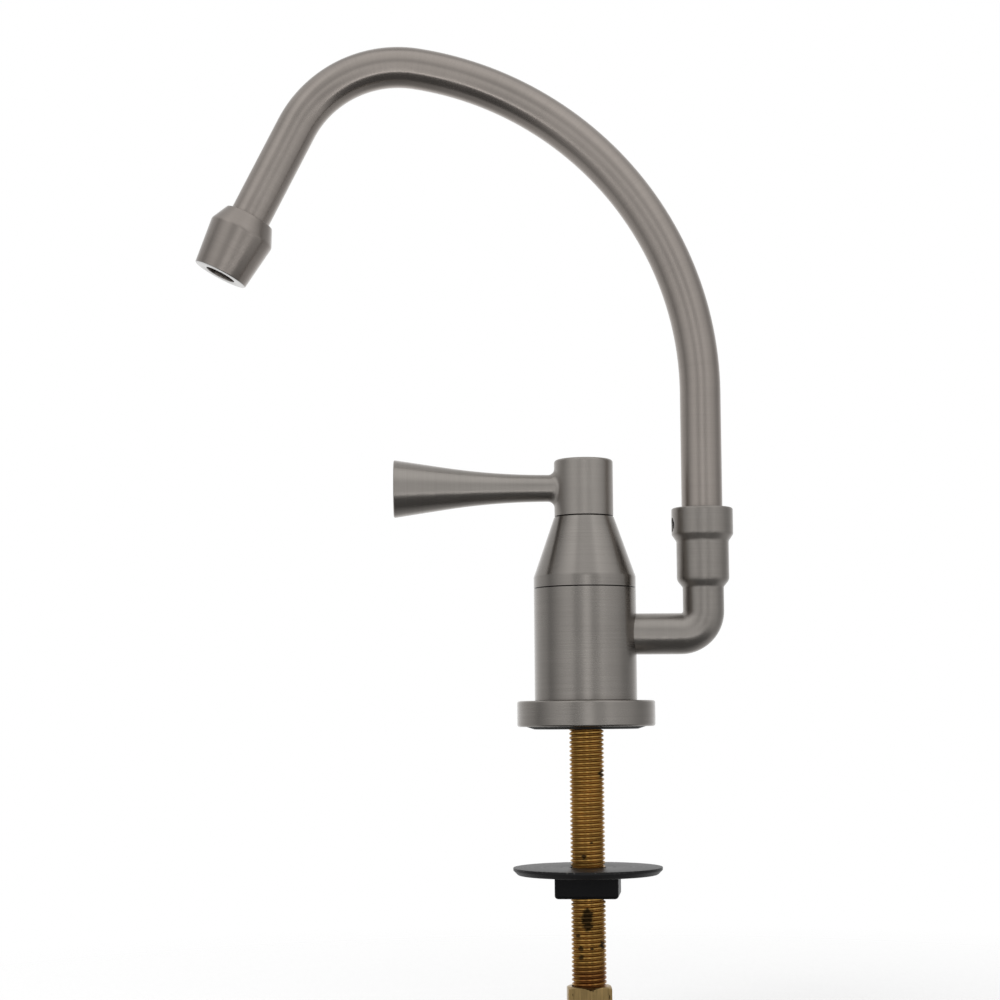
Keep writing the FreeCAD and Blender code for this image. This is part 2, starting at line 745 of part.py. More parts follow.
def grub_screw(label, diameter, start, length, tip_diameter=None, tip_length=None):
    """A headless screw along its own axis, with a hexagon socket in its outer end."""
    radius = diameter / 2 - size.thread_gap
    outer_end = start + length
    points = [(0, start), (radius, start), (radius, outer_end), (0, outer_end)]
    if tip_diameter is not None:
        tip_r = tip_diameter / 2
        tip_end = start - tip_length
        points = [(0, tip_end), (tip_r, tip_end), (tip_r, start), *points[1:]]
    screw = turned(label, points)
    hexagon = screw.newObject("PartDesign::SubtractivePrism", f"{label}_socket")
    hexagon.Polygon = HEX_SIDES
    bind(hexagon, "Circumradius", diameter * size.screw_socket_share)
    bind(hexagon, "Height", size.screw_socket_depth)
    bind(hexagon, "Placement.Base.z", outer_end - size.screw_socket_depth)
    return screw


def draw_bend_path(sketch, start, finish):
    """The elbow's centreline, level from start to the riser's foot and then up to finish."""
    radius = size.elbow_radius
    level, arc, upright = range(3)
    corner_z = number(arm_axis)
    turn = number(radius)
    centre = FreeCAD.Vector(-turn, corner_z + turn, 0)
    sketch.addGeometry(Part.LineSegment(
        FreeCAD.Vector(number(start), corner_z, 0), FreeCAD.Vector(-turn, corner_z, 0)), False)
    circle = Part.Circle(centre, SKETCH_NORMAL, turn)
    sketch.addGeometry(Part.ArcOfCircle(circle, -math.pi / 2, 0), False)
    sketch.addGeometry(Part.LineSegment(
        FreeCAD.Vector(0, corner_z + turn, 0), FreeCAD.Vector(0, number(finish), 0)), False)
    sketch.addConstraint(Sketcher.Constraint("Horizontal", level))
    sketch.addConstraint(Sketcher.Constraint("Tangent", level, 2, arc, 1))
    sketch.addConstraint(Sketcher.Constraint("Tangent", arc, 2, upright, 1))
    pin(sketch, level, 1, start, arm_axis)
    dimension(sketch, "Radius", (arc,), radius)
    pin(sketch, upright, 2, 0, finish)
    sketch.addConstraint(Sketcher.Constraint("Vertical", upright))
    return ["Edge1", "Edge2", "Edge3"]


def make_elbow():
    elbow = new_body("outlet_elbow")
    arm_local = arm_start - size.riser_offset
    spigot_local = spigot_end - size.riser_offset
    arm_r = size.arm_diameter / 2
    # Arm and neck
    path = new_sketch(elbow, "XZ_Plane", "arm_path")
    edges = draw_bend_path(path, arm_local, cup_shoulder)
    section = new_sketch(elbow, "YZ_Plane", "arm_section", arm_local)
    draw_circle(section, arm_r, 0, arm_axis)
    arm = elbow.newObject("PartDesign::AdditivePipe", "outlet_elbow_arm")
    arm.Profile = section
    arm.Spine = (path, edges)
    spigot = new_sketch(elbow, "YZ_Plane", "spigot_section", arm_local)
    draw_circle(spigot, size.arm_spigot_diameter / 2, 0, arm_axis)
    extrude(elbow, spigot, arm_start - spigot_end, "spigot", backwards=True)
    # Cup and ring round the spout's foot
    cup_r = size.cup_diameter / 2
    ring_r = size.ring_diameter / 2
    revolve(elbow, [
        (0, cup_bottom), (arm_r, cup_bottom), (cup_r, cup_shoulder), (cup_r, slope_bottom),
        (ring_r, ring_bottom), (ring_r, ring_top), (0, ring_top),
    ], "cup")
    finish_rims(elbow, [(cup_r, cup_shoulder)], size.cup_shoulder_radius)
    finish_rims(elbow, [(arm_r, cup_bottom)], size.cup_neck_radius)
    finish_rims(elbow, [(cup_r, slope_bottom), (ring_r, ring_bottom)], size.ring_slope_radius)
    finish_rims(elbow, [(ring_r, ring_top)], size.ring_upper_edge)
    # Waterway and the spout's socket
    way_path = new_sketch(elbow, "XZ_Plane", "waterway_path")
    way_edges = draw_bend_path(way_path, spigot_local, cup_floor + size.fit_gap)
    way_section = new_sketch(elbow, "YZ_Plane", "waterway_section", spigot_local)
    draw_circle(way_section, waterway_r, 0, arm_axis)
    waterway = elbow.newObject("PartDesign::SubtractivePipe", "outlet_elbow_waterway")
    waterway.Profile = way_section
    waterway.Spine = (way_path, way_edges)
    revolve(elbow, [(0, cup_floor), (socket_r, cup_floor), (socket_r, ring_top), (0, ring_top)],
            "socket", "PartDesign::Groove")
    # The grub screw's hole, square to the riser
    azimuth = FreeCAD.Rotation(UPRIGHT_AXIS, number(size.spout_screw_azimuth))
    sideways = azimuth * FreeCAD.Rotation(CROSS_AXIS, -QUARTER_TURN)
    hole = elbow.newObject("PartDesign::SubtractiveCylinder", "outlet_elbow_screw_hole")
    bind(hole, "Radius", size.spout_screw_diameter / 2)
    bind(hole, "Height", size.ring_diameter)
    place(hole, up=spout_screw_axis, rotation=sideways)
    place(elbow, size.riser_offset)

    screw_start = socket_r + size.fit_gap
    screw_length = ring_r - size.spout_screw_inset - screw_start
    screw = grub_screw("spout_set_screw", size.spout_screw_diameter, screw_start, screw_length,
                       size.spout_screw_tip_diameter, size.spout_screw_tip_length)
    place(screw, size.riser_offset, spout_screw_axis, sideways)

    gasket_inner = size.arm_spigot_diameter / 2 + size.fit_gap
    gasket = ring("elbow_gasket", gasket_inner, arm_r, 0, size.arm_gasket_thickness)
    place(gasket, arm_floor, arm_axis, FreeCAD.Rotation(CROSS_AXIS, QUARTER_TURN))

    washer_top_face = cup_floor + size.thrust_washer_thickness
    washer = ring("spout_thrust_washer", waterway_r, tube_r, cup_floor, washer_top_face)
    place(washer, size.riser_offset)


def make_spout_foot():
    cord = size.spout_cord
    lower_ring = fitting_bottom + size.spout_ring_rise
    upper_ring = lower_ring + size.spout_ring_pitch
    half_slot = size.retaining_groove_width / 2
    slot_low = spout_screw_axis - half_slot
    slot_high = spout_screw_axis + half_slot
    spigot_r = tube_bore_r - size.fit_gap
    spigot_top = tube_bottom + size.fitting_spigot_length
    fitting = turned("spout_end_fitting", [
        (waterway_r, fitting_bottom), (tube_r, fitting_bottom),
        *ring_groove(tube_r, cord, lower_ring), *ring_groove(tube_r, cord, upper_ring),
        *groove_outline(tube_r, size.retaining_groove_depth, slot_low, slot_high),
        (tube_r, tube_bottom), (spigot_r, tube_bottom), (spigot_r, spigot_top), (waterway_r, spigot_top),
    ])
    place(fitting, size.riser_offset)
    o_rings("spout_orings", tube_r - cord / 2, cord, [lower_ring, upper_ring], size.riser_offset)


def make_spout_tube():
    tube = new_body("spout_tube")
    path = new_sketch(tube, "XZ_Plane", "centreline")
    riser, bend, crook, outlet = range(4)
    straight = size.outlet_length - tube_end
    tilt = math.radians(number(size.outlet_tilt))
    turn = math.radians(number(size.bend_angle))
    riser_x = number(size.riser_offset)
    bend_z = number(size.bend_height)
    path.addGeometry(Part.LineSegment(
        FreeCAD.Vector(riser_x, number(tube_bottom), 0), FreeCAD.Vector(riser_x, bend_z, 0)), False)
    bend_radius = number(size.bend_radius)
    bend_centre = FreeCAD.Vector(riser_x - bend_radius, bend_z, 0)
    bend_circle = Part.Circle(bend_centre, SKETCH_NORMAL, bend_radius)
    path.addGeometry(Part.ArcOfCircle(bend_circle, 0, turn), False)
    crook_centre = FreeCAD.Vector(number(crook_centre_x), number(crook_centre_z), 0)
    crook_circle = Part.Circle(crook_centre, SKETCH_NORMAL, number(size.crook_radius))
    path.addGeometry(Part.ArcOfCircle(crook_circle, turn, math.pi - tilt), False)
    crook_end = FreeCAD.Vector(number(crook_end_x), number(crook_end_z), 0)
    downwards = FreeCAD.Vector(-math.sin(tilt), -math.cos(tilt), 0)
    path.addGeometry(Part.LineSegment(crook_end, crook_end + downwards * number(straight)), False)
    path.addConstraint(Sketcher.Constraint("Vertical", riser))
    path.addConstraint(Sketcher.Constraint("Tangent", riser, 2, bend, 1))
    path.addConstraint(Sketcher.Constraint("Tangent", bend, 2, crook, 1))
    path.addConstraint(Sketcher.Constraint("Tangent", crook, 2, outlet, 1))
    pin(path, riser, 1, size.riser_offset, tube_bottom)
    dimension(path, "DistanceY", (-1, 1, riser, 2), size.bend_height)
    dimension(path, "Radius", (bend,), size.bend_radius)
    dimension(path, "Angle", (bend,), size.bend_angle, turn)
    dimension(path, "Radius", (crook,), size.crook_radius)
    crook_turn = Size(HALF_TURN, str(HALF_TURN)) - size.bend_angle - size.outlet_tilt
    dimension(path, "Angle", (crook,), crook_turn, math.radians(number(crook_turn)))
    dimension(path, "Distance", (outlet,), straight)
    section = new_sketch(tube, "XY_Plane", "section", tube_bottom)
    draw_circle(section, tube_r, size.riser_offset, 0)
    draw_circle(section, tube_bore_r, size.riser_offset, 0)
    pipe = tube.newObject("PartDesign::AdditivePipe", "spout_tube_pipe")
    pipe.Profile = section
    pipe.Spine = (path, ["Edge1", "Edge2", "Edge3", "Edge4"])


def make_nozzle():
    mouth_r = size.nozzle_mouth_diameter / 2
    waist_r = size.nozzle_waist_diameter / 2
    collar_r = size.nozzle_collar_diameter / 2
    straightener_r = size.straightener_diameter / 2
    step_r = straightener_r + size.fit_gap
    nozzle = turned("spout_nozzle", [
        (outlet_bore_r, 0), (mouth_r, 0), (waist_r, size.nozzle_waist_height),
        (collar_r, size.nozzle_length), (socket_r, size.nozzle_length), (socket_r, nozzle_seat),
        (step_r, nozzle_seat), (step_r, size.outlet_bore_depth), (outlet_bore_r, size.outlet_bore_depth),
    ])
    finish_rims(nozzle, [(waist_r, size.nozzle_waist_height)], size.nozzle_waist_radius)
    finish_rims(nozzle, [(mouth_r, 0), (collar_r, size.nozzle_length)], size.nozzle_edge)
    place_at_outlet(nozzle)

    gasket = ring("nozzle_gasket", outlet_bore_r, tube_r, nozzle_seat, tube_end)
    place_at_outlet(gasket)

    straightener = new_body("flow_straightener")
    bottom = size.outlet_bore_depth
    outline = new_sketch(straightener, "XY_Plane", "outline", bottom)
    draw_circle(outline, straightener_r)
    draw_circle(outline, size.straightener_hole_diameter / 2)
    extrude(straightener, outline, size.straightener_thickness, "disc")
    hole = new_sketch(straightener, "XY_Plane", "hole_outline", bottom)
    draw_circle(hole, size.straightener_hole_diameter / 2, size.straightener_hole_circle / 2, 0)
    cut = extrude(straightener, hole, size.straightener_thickness, "hole", "PartDesign::Pocket",
                  backwards=True)
    repeat_round(straightener, cut, hole, STRAIGHTENER_HOLES, "holes")
    place_at_outlet(straightener)


def make_shank():
    shank_bore_r = size.shank_bore_diameter / 2
    shank = ring("threaded_shank", shank_bore_r, shank_r, shank_bottom, shank_top)
    finish_rims(shank, [(shank_r, shank_bottom), (shank_r, shank_top)], size.shank_end_chamfer, "Chamfer")
    ring("shank_gasket", shank_bore_r, shank_r - size.fit_gap, shank_top, shank_socket_top)

    adapter = new_body("inlet_adapter")
    outline = new_sketch(adapter, "XY_Plane", "hexagon", hex_bottom)
    half_flats = size.hex_flats / 2
    corner_r = half_flats / cosine(HALF_TURN / HEX_SIDES)
    half_side = corner_r / 2
    draw_outline(outline, [
        (0, corner_r), (-half_flats, half_side), (-half_flats, -half_side),
        (0, -corner_r), (half_flats, -half_side), (half_flats, half_side),
    ])
    extrude(adapter, outline, size.hex_height, "hexagon_pad")
    chamfer_r = half_flats - size.hex_chamfer_inset
    outside_r = corner_r + size.hex_chamfer
    for name, face, edge in (
        ("upper", hex_top, hex_top - size.hex_chamfer),
        ("lower", hex_bottom, hex_bottom + size.hex_chamfer),
    ):
        corner = [(chamfer_r, face), (outside_r, face), (outside_r, edge)]
        revolve(adapter, corner, f"{name}_chamfer", "PartDesign::Groove")
    stub = new_sketch(adapter, "XY_Plane", "stub_outline", hex_bottom)
    draw_circle(stub, size.stub_diameter / 2)
    extrude(adapter, stub, size.stub_length, "stub", backwards=True)
    finish_rims(adapter, [(size.stub_diameter / 2, stub_bottom)], size.stub_chamfer, "Chamfer")
    stub_bore_r = size.stub_bore_diameter / 2
    revolve(adapter, [
        (0, stub_bottom), (stub_bore_r, stub_bottom), (stub_bore_r, adapter_floor),
        (shank_thread_r, adapter_floor), (shank_thread_r, hex_top), (0, hex_top),
    ], "bore", "PartDesign::Groove")
    ring("adapter_washer", stub_bore_r, shank_r, adapter_floor, shank_bottom)


def make_clamp():
    hole_r = shank_r + size.loose_gap
    washer_r = size.washer_diameter / 2
    turned("mounting_washer", [
        (hole_r, washer_bottom), (washer_r - size.washer_bevel, washer_bottom),
        (washer_r, washer_bottom + size.washer_bevel), (washer_r, washer_top), (hole_r, washer_top),
    ])

    nut = new_body("mounting_nut")
    half = size.nut_width / 2
    outline = new_sketch(nut, "XY_Plane", "square", nut_top)
    draw_outline(outline, rectangle(-half, half, -half, half))
    extrude(nut, outline, size.nut_height, "block", backwards=True)
    upright = edges_where(nut, lambda edge: edge.BoundBox.ZLength > NEAR)
    finish_edges(nut, upright, size.nut_corner)
    nut_bottom = nut_top - size.nut_height
    lower = edges_where(nut, lambda edge: edge.BoundBox.ZMax < nut_bottom.value + NEAR)
    finish_edges(nut, lower, size.nut_edge)
    hole = new_sketch(nut, "XY_Plane", "hole_outline", nut_top)
    draw_circle(hole, hole_r)
    extrude(nut, hole, size.nut_height, "hole", "PartDesign::Pocket")
    place(nut, rotation=FreeCAD.Rotation(UPRIGHT_AXIS, number(size.nut_turn)))


def check_document():
    """Stop before anything is written if a feature failed or a piece has no sound solid."""
    for item in doc.Objects:
        if "Invalid" in item.State or "Error" in item.State:
            raise RuntimeError(f"{item.Label} failed: {item.State}")
    for item in parts:
        shape = item.Shape
        if shape.isNull() or not shape.isValid() or not shape.Solids:
            raise RuntimeError(f"{item.Label} has no sound solid")


make_foot()
make_valve_body()
make_cap()
make_cartridge()
make_stem()
make_handle()
make_elbow()
make_spout_foot()
make_spout_tube()
make_nozzle()
make_shank()
make_clamp()
doc.recompute()
check_document()

os.makedirs("parts", exist_ok=True)
for part in parts:
    part.Shape.exportStep(f"parts/{part.Label}.step")
    print(f"{part.Label}: {len(part.Shape.Solids)} solid, {part.Shape.Volume:.1f} mm3")
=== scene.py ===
import json
import math
from collections import namedtuple

import bmesh
import bpy
from mathutils import Matrix, Vector


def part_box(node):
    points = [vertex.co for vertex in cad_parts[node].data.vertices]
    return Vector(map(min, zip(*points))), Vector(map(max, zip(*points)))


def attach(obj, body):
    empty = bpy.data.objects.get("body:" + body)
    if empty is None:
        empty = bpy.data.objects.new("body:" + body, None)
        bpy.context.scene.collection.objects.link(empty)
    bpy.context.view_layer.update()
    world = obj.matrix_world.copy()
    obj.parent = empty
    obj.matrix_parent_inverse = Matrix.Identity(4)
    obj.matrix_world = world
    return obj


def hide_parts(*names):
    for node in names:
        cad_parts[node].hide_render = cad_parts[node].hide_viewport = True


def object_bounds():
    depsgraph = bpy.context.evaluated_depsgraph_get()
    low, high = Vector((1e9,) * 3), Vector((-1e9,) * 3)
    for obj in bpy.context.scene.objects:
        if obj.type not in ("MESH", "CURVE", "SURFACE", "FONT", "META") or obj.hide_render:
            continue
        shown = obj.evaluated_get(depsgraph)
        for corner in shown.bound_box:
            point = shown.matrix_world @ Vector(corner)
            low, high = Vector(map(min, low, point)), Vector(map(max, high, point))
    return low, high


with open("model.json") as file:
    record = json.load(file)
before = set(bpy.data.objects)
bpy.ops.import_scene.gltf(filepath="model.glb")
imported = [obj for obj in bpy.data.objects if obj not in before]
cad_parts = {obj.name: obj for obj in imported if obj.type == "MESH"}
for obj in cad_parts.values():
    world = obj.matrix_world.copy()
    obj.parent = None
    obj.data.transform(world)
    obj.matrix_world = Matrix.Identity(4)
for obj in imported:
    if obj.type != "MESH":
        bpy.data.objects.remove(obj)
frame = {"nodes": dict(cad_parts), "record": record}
cad_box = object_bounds()
nodes = frame["nodes"]

# Lengths are in metres, as in the frame; the millimetre is a unit to write small ones with
MM = 0.001
UP = Vector((0.0, 0.0, 1.0))
SIDEWAYS = Vector((1.0, 0.0, 0.0))
ORIGIN = Vector((0.0, 0.0, 0.0))

# Camera, fitted to the photograph's frame of 1000 by 1000
CAMERA_PLACE = Vector((-50.8 * MM, -706.5 * MM, 4.0 * MM))
CAMERA_YAW = math.radians(1.732)
CAMERA_PITCH = math.radians(4.442)
CAMERA_ROLL = math.radians(-0.482)
CAMERA_LENS = 73.3
CAMERA_SHIFT = 0.06

# The studio that polished things reflect: brightness by azimuth in degrees from the camera's side,
# where right is positive
SIDE_LIGHT = (
    (-180, 1.0), (-150, 0.76), (-122, 0.55), (-104, 0.45), (-90, 0.28), (-77, 0.40), (-65, 0.54),
    (-55, 0.64), (-44, 0.71), (-34, 0.68), (-24, 0.42), (-14, 0.52), (14, 0.48), (24, 0.52),
    (34, 0.76), (44, 0.67), (55, 0.61), (65, 0.57), (77, 0.50), (90, 0.38), (104, 0.34),
    (122, 0.45), (150, 0.80), (180, 1.0),
)
# Factor on it by elevation in degrees
HEIGHT_LIGHT = (
    (-90, 0.50), (-70, 0.60), (-50, 0.80), (-36, 1.25), (-28, 1.25), (-18, 1.0), (15, 1.0), (28, 1.15),
    (43, 1.42), (75, 1.42), (90, 1.25),
)
# Places in the studio, each by the degrees where it begins and where it is full
STRIP_ACROSS = (13.0, 3.0)
STRIP_BELOW = (22.0, 8.0)
POLES = (30.0, 75.0)
FAR_SIDE = (95.0, 150.0)
FAR_CEILING = (10.0, 45.0)
FAR_GROUND = (-8.0, -35.0)
# Brightness there: an upright strip at the camera, straight up and down, and how much the far side's
# ceiling and ground are dimmed
STRIP_LIGHT = 0.42
POLE_LIGHT = 0.62
FAR_CEILING_DIMMED = 0.42
FAR_GROUND_DIMMED = 0.45
# Strength of the whole studio and of the even room that lights matt surfaces, and the key lamp
STUDIO_LIGHT = 1.2
ROOM_LIGHT = 0.90
KEY_POWER = 7.0
KEY_SIZE = 0.9
KEY_PLACE = Vector((-0.7, -0.8, 1.1))
# The pale floor: its radius, and the distances where it begins to fade and is clear
FLOOR_REACH = 0.45
FLOOR_FADE = (0.18, 0.44)
DISC_SEGMENTS = 96
# The ground disc, which only polished things reflect: its radius and height, its brightness from front to
# back, and where it begins and is full in front, behind and on both sides
GROUND_REACH = 1.0
GROUND_HEIGHT = -0.25
GROUND_LIGHT = (
    (-1.0, 0.80), (-0.66, 0.80), (-0.64, 1.8), (-0.575, 1.8), (-0.535, 0.14), (-0.25, 0.10), (1.0, 0.09),
)
GROUND_FRONT = (-0.85, -0.70)
GROUND_BACK = (0.10, -0.02)
GROUND_SIDES = (0.70, 0.40)

# Finishes, as linear colours
WHITE = (1.0, 1.0, 1.0)
NICKEL = (0.290, 0.270, 0.250)
WARM_NICKEL = (0.340, 0.306, 0.280)
MOUTH_NICKEL = (0.36, 0.35, 0.34)
BRASS = (0.472, 0.275, 0.076)
OLIVE_BRASS = (0.385, 0.264, 0.112)
RED_BRASS = (0.25, 0.104, 0.029)
STAIN = (0.030, 0.018, 0.010)
STEEL = (0.25, 0.242, 0.233)
BLACK_PLASTIC = (0.0038, 0.0038, 0.0045)
BLACK_RUBBER = (0.008, 0.008, 0.008)
DUST = (0.11, 0.105, 0.10)
WHITE_NYLON = (0.72, 0.71, 0.68)
CERAMIC = (0.74, 0.72, 0.68)
FIBRE = (0.20, 0.075, 0.045)
FLOOR = (0.93, 0.93, 0.93)


class Graph:
    """A node tree built one node at a time. An input is a number, a colour or another node's output."""

    # Sockets of a mix: its two inputs and its output
    MIX_SLOTS = {"FLOAT": (2, 3, 0), "VECTOR": (4, 5, 1), "RGBA": (6, 7, 2)}
    # The range that most of a noise lies in
    NOISE_RANGE = (0.3, 0.7)

    def __init__(self, tree):
        self.tree = tree
        tree.nodes.clear()

    def node(self, kind, inputs=None, **settings):
        node = self.tree.nodes.new("ShaderNode" + kind)
        for name, value in settings.items():
            setattr(node, name, value)
        for key, value in (inputs or {}).items():
            if isinstance(value, bpy.types.NodeSocket):
                self.tree.links.new(value, node.inputs[key])
            else:
                node.inputs[key].default_value = value
        return node

    def add(self, kind, inputs=None, output=0, **settings):
        """A new node's output."""
        return self.node(kind, inputs, **settings).outputs[output]

    def math(self, operation, *values):
        return self.add("Math", dict(enumerate(values)), operation=operation)

    def vector(self, operation, *values, output="Vector"):
        return self.add("VectorMath", dict(enumerate(values)), output, operation=operation)

    def scaled(self, vector, amount):
        return self.add("VectorMath", {0: vector, "Scale": amount}, operation="SCALE")

    def split(self, vector):
        return self.node("SeparateXYZ", {0: vector}).outputs

    def noise(self, vector, scale=1.0, detail=2.0):
        return self.add("TexNoise", {"Vector": vector, "Scale": scale, "Detail": detail})

    def stretch(self, value, low, high, to_low=0.0, to_high=1.0):
        """A value's range, low to high, set to another range, with what is outside cut off."""
        return self.add("MapRange", {0: value, 1: low, 2: high, 3: to_low, 4: to_high})

    def vary(self, noise, low, high):
        """A noise's usual range set to another range."""
        return self.stretch(noise, *self.NOISE_RANGE, low, high)

    def mix(self, factor, first, second, kind="RGBA"):
        first_slot, second_slot, output = self.MIX_SLOTS[kind]
        return self.add("Mix", {0: factor, first_slot: first, second_slot: second}, output, data_type=kind)

    def steps(self, value, stops):
        """Brightness looked up from (place, brightness) stops."""
        low = stops[0][0]
        high = stops[-1][0]
        node = self.node("ValToRGB", {0: self.stretch(value, low, high)})
        elements = node.color_ramp.elements
        while len(elements) < len(stops):
            elements.new(1.0)
        for element, (place, level) in zip(elements, stops):
            element.position = (place - low) / (high - low)
            element.color = (level, level, level, 1.0)
        return node.outputs[0]

    def object_place(self):
        return self.add("TexCoord", output="Object")

    def from_axis(self, place):
        """Distance from the vertical axis."""
        return self.vector("LENGTH", self.vector("MULTIPLY", place, (1.0, 1.0, 0.0)), output="Value")

    def to_world(self, vector):
        spaces = {"vector_type": "VECTOR", "convert_from": "OBJECT", "convert_to": "WORLD"}
        return self.add("VectorTransform", {0: vector}, **spaces)

    def bump(self, height, depth, strength, **settings):
        return self.add("Bump", {"Height": height, "Distance": depth, "Strength": strength, **settings})

    def finish(self, shader):
        self.node("OutputMaterial", {"Surface": shader})


def new_graph(name):
    """A new material, with its node tree to fill."""
    material = bpy.data.materials.new(name)
    material.use_nodes = True
    return material, Graph(material.node_tree)


def opaque(colour):
    return (*colour, 1.0)


def link_object(item):
    bpy.context.scene.collection.objects.link(item)
    return item


# Camera, light and floor

def add_camera():
    forward = Vector((
        math.sin(CAMERA_YAW) * math.cos(CAMERA_PITCH),
        math.cos(CAMERA_YAW) * math.cos(CAMERA_PITCH),
        math.sin(CAMERA_PITCH),
    ))
    level = Vector((math.cos(CAMERA_YAW), -math.sin(CAMERA_YAW), 0.0))
    above = level.cross(forward)
    right = level * math.cos(CAMERA_ROLL) + above * math.sin(CAMERA_ROLL)
    upward = above * math.cos(CAMERA_ROLL) - level * math.sin(CAMERA_ROLL)
    turn = Matrix((right, upward, -forward)).transposed().to_4x4()
    data = bpy.data.cameras.new("camera")
    data.lens = CAMERA_LENS
    data.shift_y = CAMERA_SHIFT
    camera = link_object(bpy.data.objects.new("camera", data))
    camera.matrix_world = Matrix.Translation(CAMERA_PLACE) @ turn
    bpy.context.scene.camera = camera


def studio_light(graph):
    """Brightness of the studio in a direction: its sides, strip, ceiling and far ground."""
    across, deep, high = graph.split(graph.add("TexCoord", output="Generated"))
    towards = graph.math("MULTIPLY", deep, -1.0)
    azimuth = graph.math("DEGREES", graph.math("ARCTAN2", across, towards))
    elevation = graph.math("DEGREES", graph.math("ARCSINE", high))
    from_camera = graph.math("ABSOLUTE", azimuth)
    pole = graph.stretch(graph.math("ABSOLUTE", elevation), *POLES)
    side = graph.mix(pole, graph.steps(azimuth, SIDE_LIGHT), POLE_LIGHT, "FLOAT")
    light = graph.math("MULTIPLY", side, graph.steps(elevation, HEIGHT_LIGHT))
    strip_side = graph.stretch(from_camera, *STRIP_ACROSS, 0.0, STRIP_LIGHT)
    strip = graph.math("MULTIPLY", strip_side, graph.stretch(elevation, *STRIP_BELOW))
    light = graph.math("ADD", light, strip)
    ceiling = graph.stretch(elevation, *FAR_CEILING, 0.0, FAR_CEILING_DIMMED)
    ground = graph.stretch(elevation, *FAR_GROUND, 0.0, FAR_GROUND_DIMMED)
    dimmed = graph.math("MULTIPLY", graph.stretch(from_camera, *FAR_SIDE), graph.math("ADD", ceiling, ground))
    return graph.math("MULTIPLY", light, graph.math("SUBTRACT", 1.0, dimmed))


def add_world():
    """White behind the object, an even room for matt surfaces and a soft studio for polished ones."""
    world = bpy.data.worlds.new("studio")
    world.use_nodes = True
    world.cycles.sampling_method = "NONE"
    bpy.context.scene.world = world
    graph = Graph(world.node_tree)
    studio = graph.add("Background", {"Color": studio_light(graph), "Strength": STUDIO_LIGHT})
    room = graph.add("Background", {"Color": opaque(WHITE), "Strength": ROOM_LIGHT})
    white = graph.add("Background", {"Color": opaque(WHITE), "Strength": 1.0})
    rays = graph.node("LightPath").outputs
    seen = graph.math("MAXIMUM", rays["Is Camera Ray"], rays["Is Transmission Ray"])
    lit = graph.add("MixShader", {0: rays["Is Glossy Ray"], 1: room, 2: studio})
    graph.node("OutputWorld", {"Surface": graph.add("MixShader", {0: seen, 1: lit, 2: white})})


def add_key_lamp():
    data = bpy.data.lights.new("key", "AREA")
    data.energy = KEY_POWER
    data.size = KEY_SIZE
    lamp = link_object(bpy.data.objects.new("key", data))
    aim = KEY_PLACE.to_track_quat("Z", "Y").to_matrix().to_4x4()
    lamp.matrix_world = Matrix.Translation(KEY_PLACE) @ aim
    lamp.visible_camera = False
    lamp.visible_glossy = False


def add_disc(name, reach, height, material):
    """A level disc under the object that isn't part of it."""
    mesh = bpy.data.meshes.new(name)
    shape = bmesh.new()
    bmesh.ops.create_circle(shape, cap_ends=True, segments=DISC_SEGMENTS, radius=reach)
    shape.to_mesh(mesh)
    shape.free()
    mesh.materials.append(material)
    disc = link_object(bpy.data.objects.new(name, mesh))
    disc.location.z = height
    return disc


def add_floor():
    """A pale disc under the object that fades into the white behind it and is clear from below."""
    material, graph = new_graph("floor")
    distance = graph.vector("LENGTH", graph.object_place(), output="Value")
    paper = graph.add("BsdfDiffuse", {"Color": opaque(FLOOR)})
    clear = graph.add("BsdfTransparent")
    from_below = graph.add("NewGeometry", output="Backfacing")
    share = graph.math("MAXIMUM", from_below, graph.stretch(distance, *FLOOR_FADE))
    graph.finish(graph.add("MixShader", {0: share, 1: paper, 2: clear}))
    add_disc("floor", FLOOR_REACH, cad_box[0][2], material).visible_glossy = False


def add_ground():
    """A disc for polished things alone to reflect, dark under the object and lit in front of it."""
    material, graph = new_graph("ground")
    material.cycles.emission_sampling = "NONE"
    across, deep, _ = graph.split(graph.object_place())
    light = graph.steps(deep, GROUND_LIGHT)
    glow = graph.add("Emission", {"Color": light, "Strength": STUDIO_LIGHT})
    sides = graph.stretch(graph.math("ABSOLUTE", across), *GROUND_SIDES)
    ends = graph.math("MULTIPLY", graph.stretch(deep, *GROUND_FRONT), graph.stretch(deep, *GROUND_BACK))
    share = graph.math("MULTIPLY", sides, ends)
    clear = graph.add("BsdfTransparent")
    graph.finish(graph.add("MixShader", {0: share, 1: clear, 2: glow}))
    ground = add_disc("ground", GROUND_REACH, GROUND_HEIGHT, material)
    ground.visible_camera = False
    ground.visible_diffuse = False
    ground.visible_transmission = False
    ground.visible_shadow = False


# Brushed nickel

PATH_ALONG = "path_along"
PATH_DIRECTION = "path_direction"
# Brush marks: the range of their noise that shows, how far fine and coarse ones shift the brightness at
# full strength, what such a shift does to the roughness, and their depth and bump
MARK_RANGE = (0.25, 0.75)
FINE_SHIFT = 0.10
COARSE_SHIFT = 0.06
SHIFT_TO_ROUGHNESS = -0.5
BRUSH_DEPTH = 0.02 * MM
BRUSH_BUMP = 0.25
# Clouds of handling: their scale, and the range of brightness and of added roughness
CLOUD_SCALE = 75.0
CLOUD_TONE = (0.96, 1.04)
CLOUD_ROUGHNESS = (-0.02, 0.02)
# Half the width of the painted shade line in a joint, where it is full and where it ends, and its brightness
JOINT_SHADE_LINE = (0.13 * MM, 0.24 * MM)
JOINT_SHADE_TONE = 0.05
# Polishing waves on the two castings: their scale, and height as a multiple of the brush marks' depth
WAVE_SCALE = 170.0
ELBOW_WAVES = 18.0
LEVER_WAVES = 10.0
# Both castings are a little paler than the turned pieces, the hub most and the cup least
CAST_TONE = 1.15
HUB_TONE = 1.22
CUP_TONE = 1.06
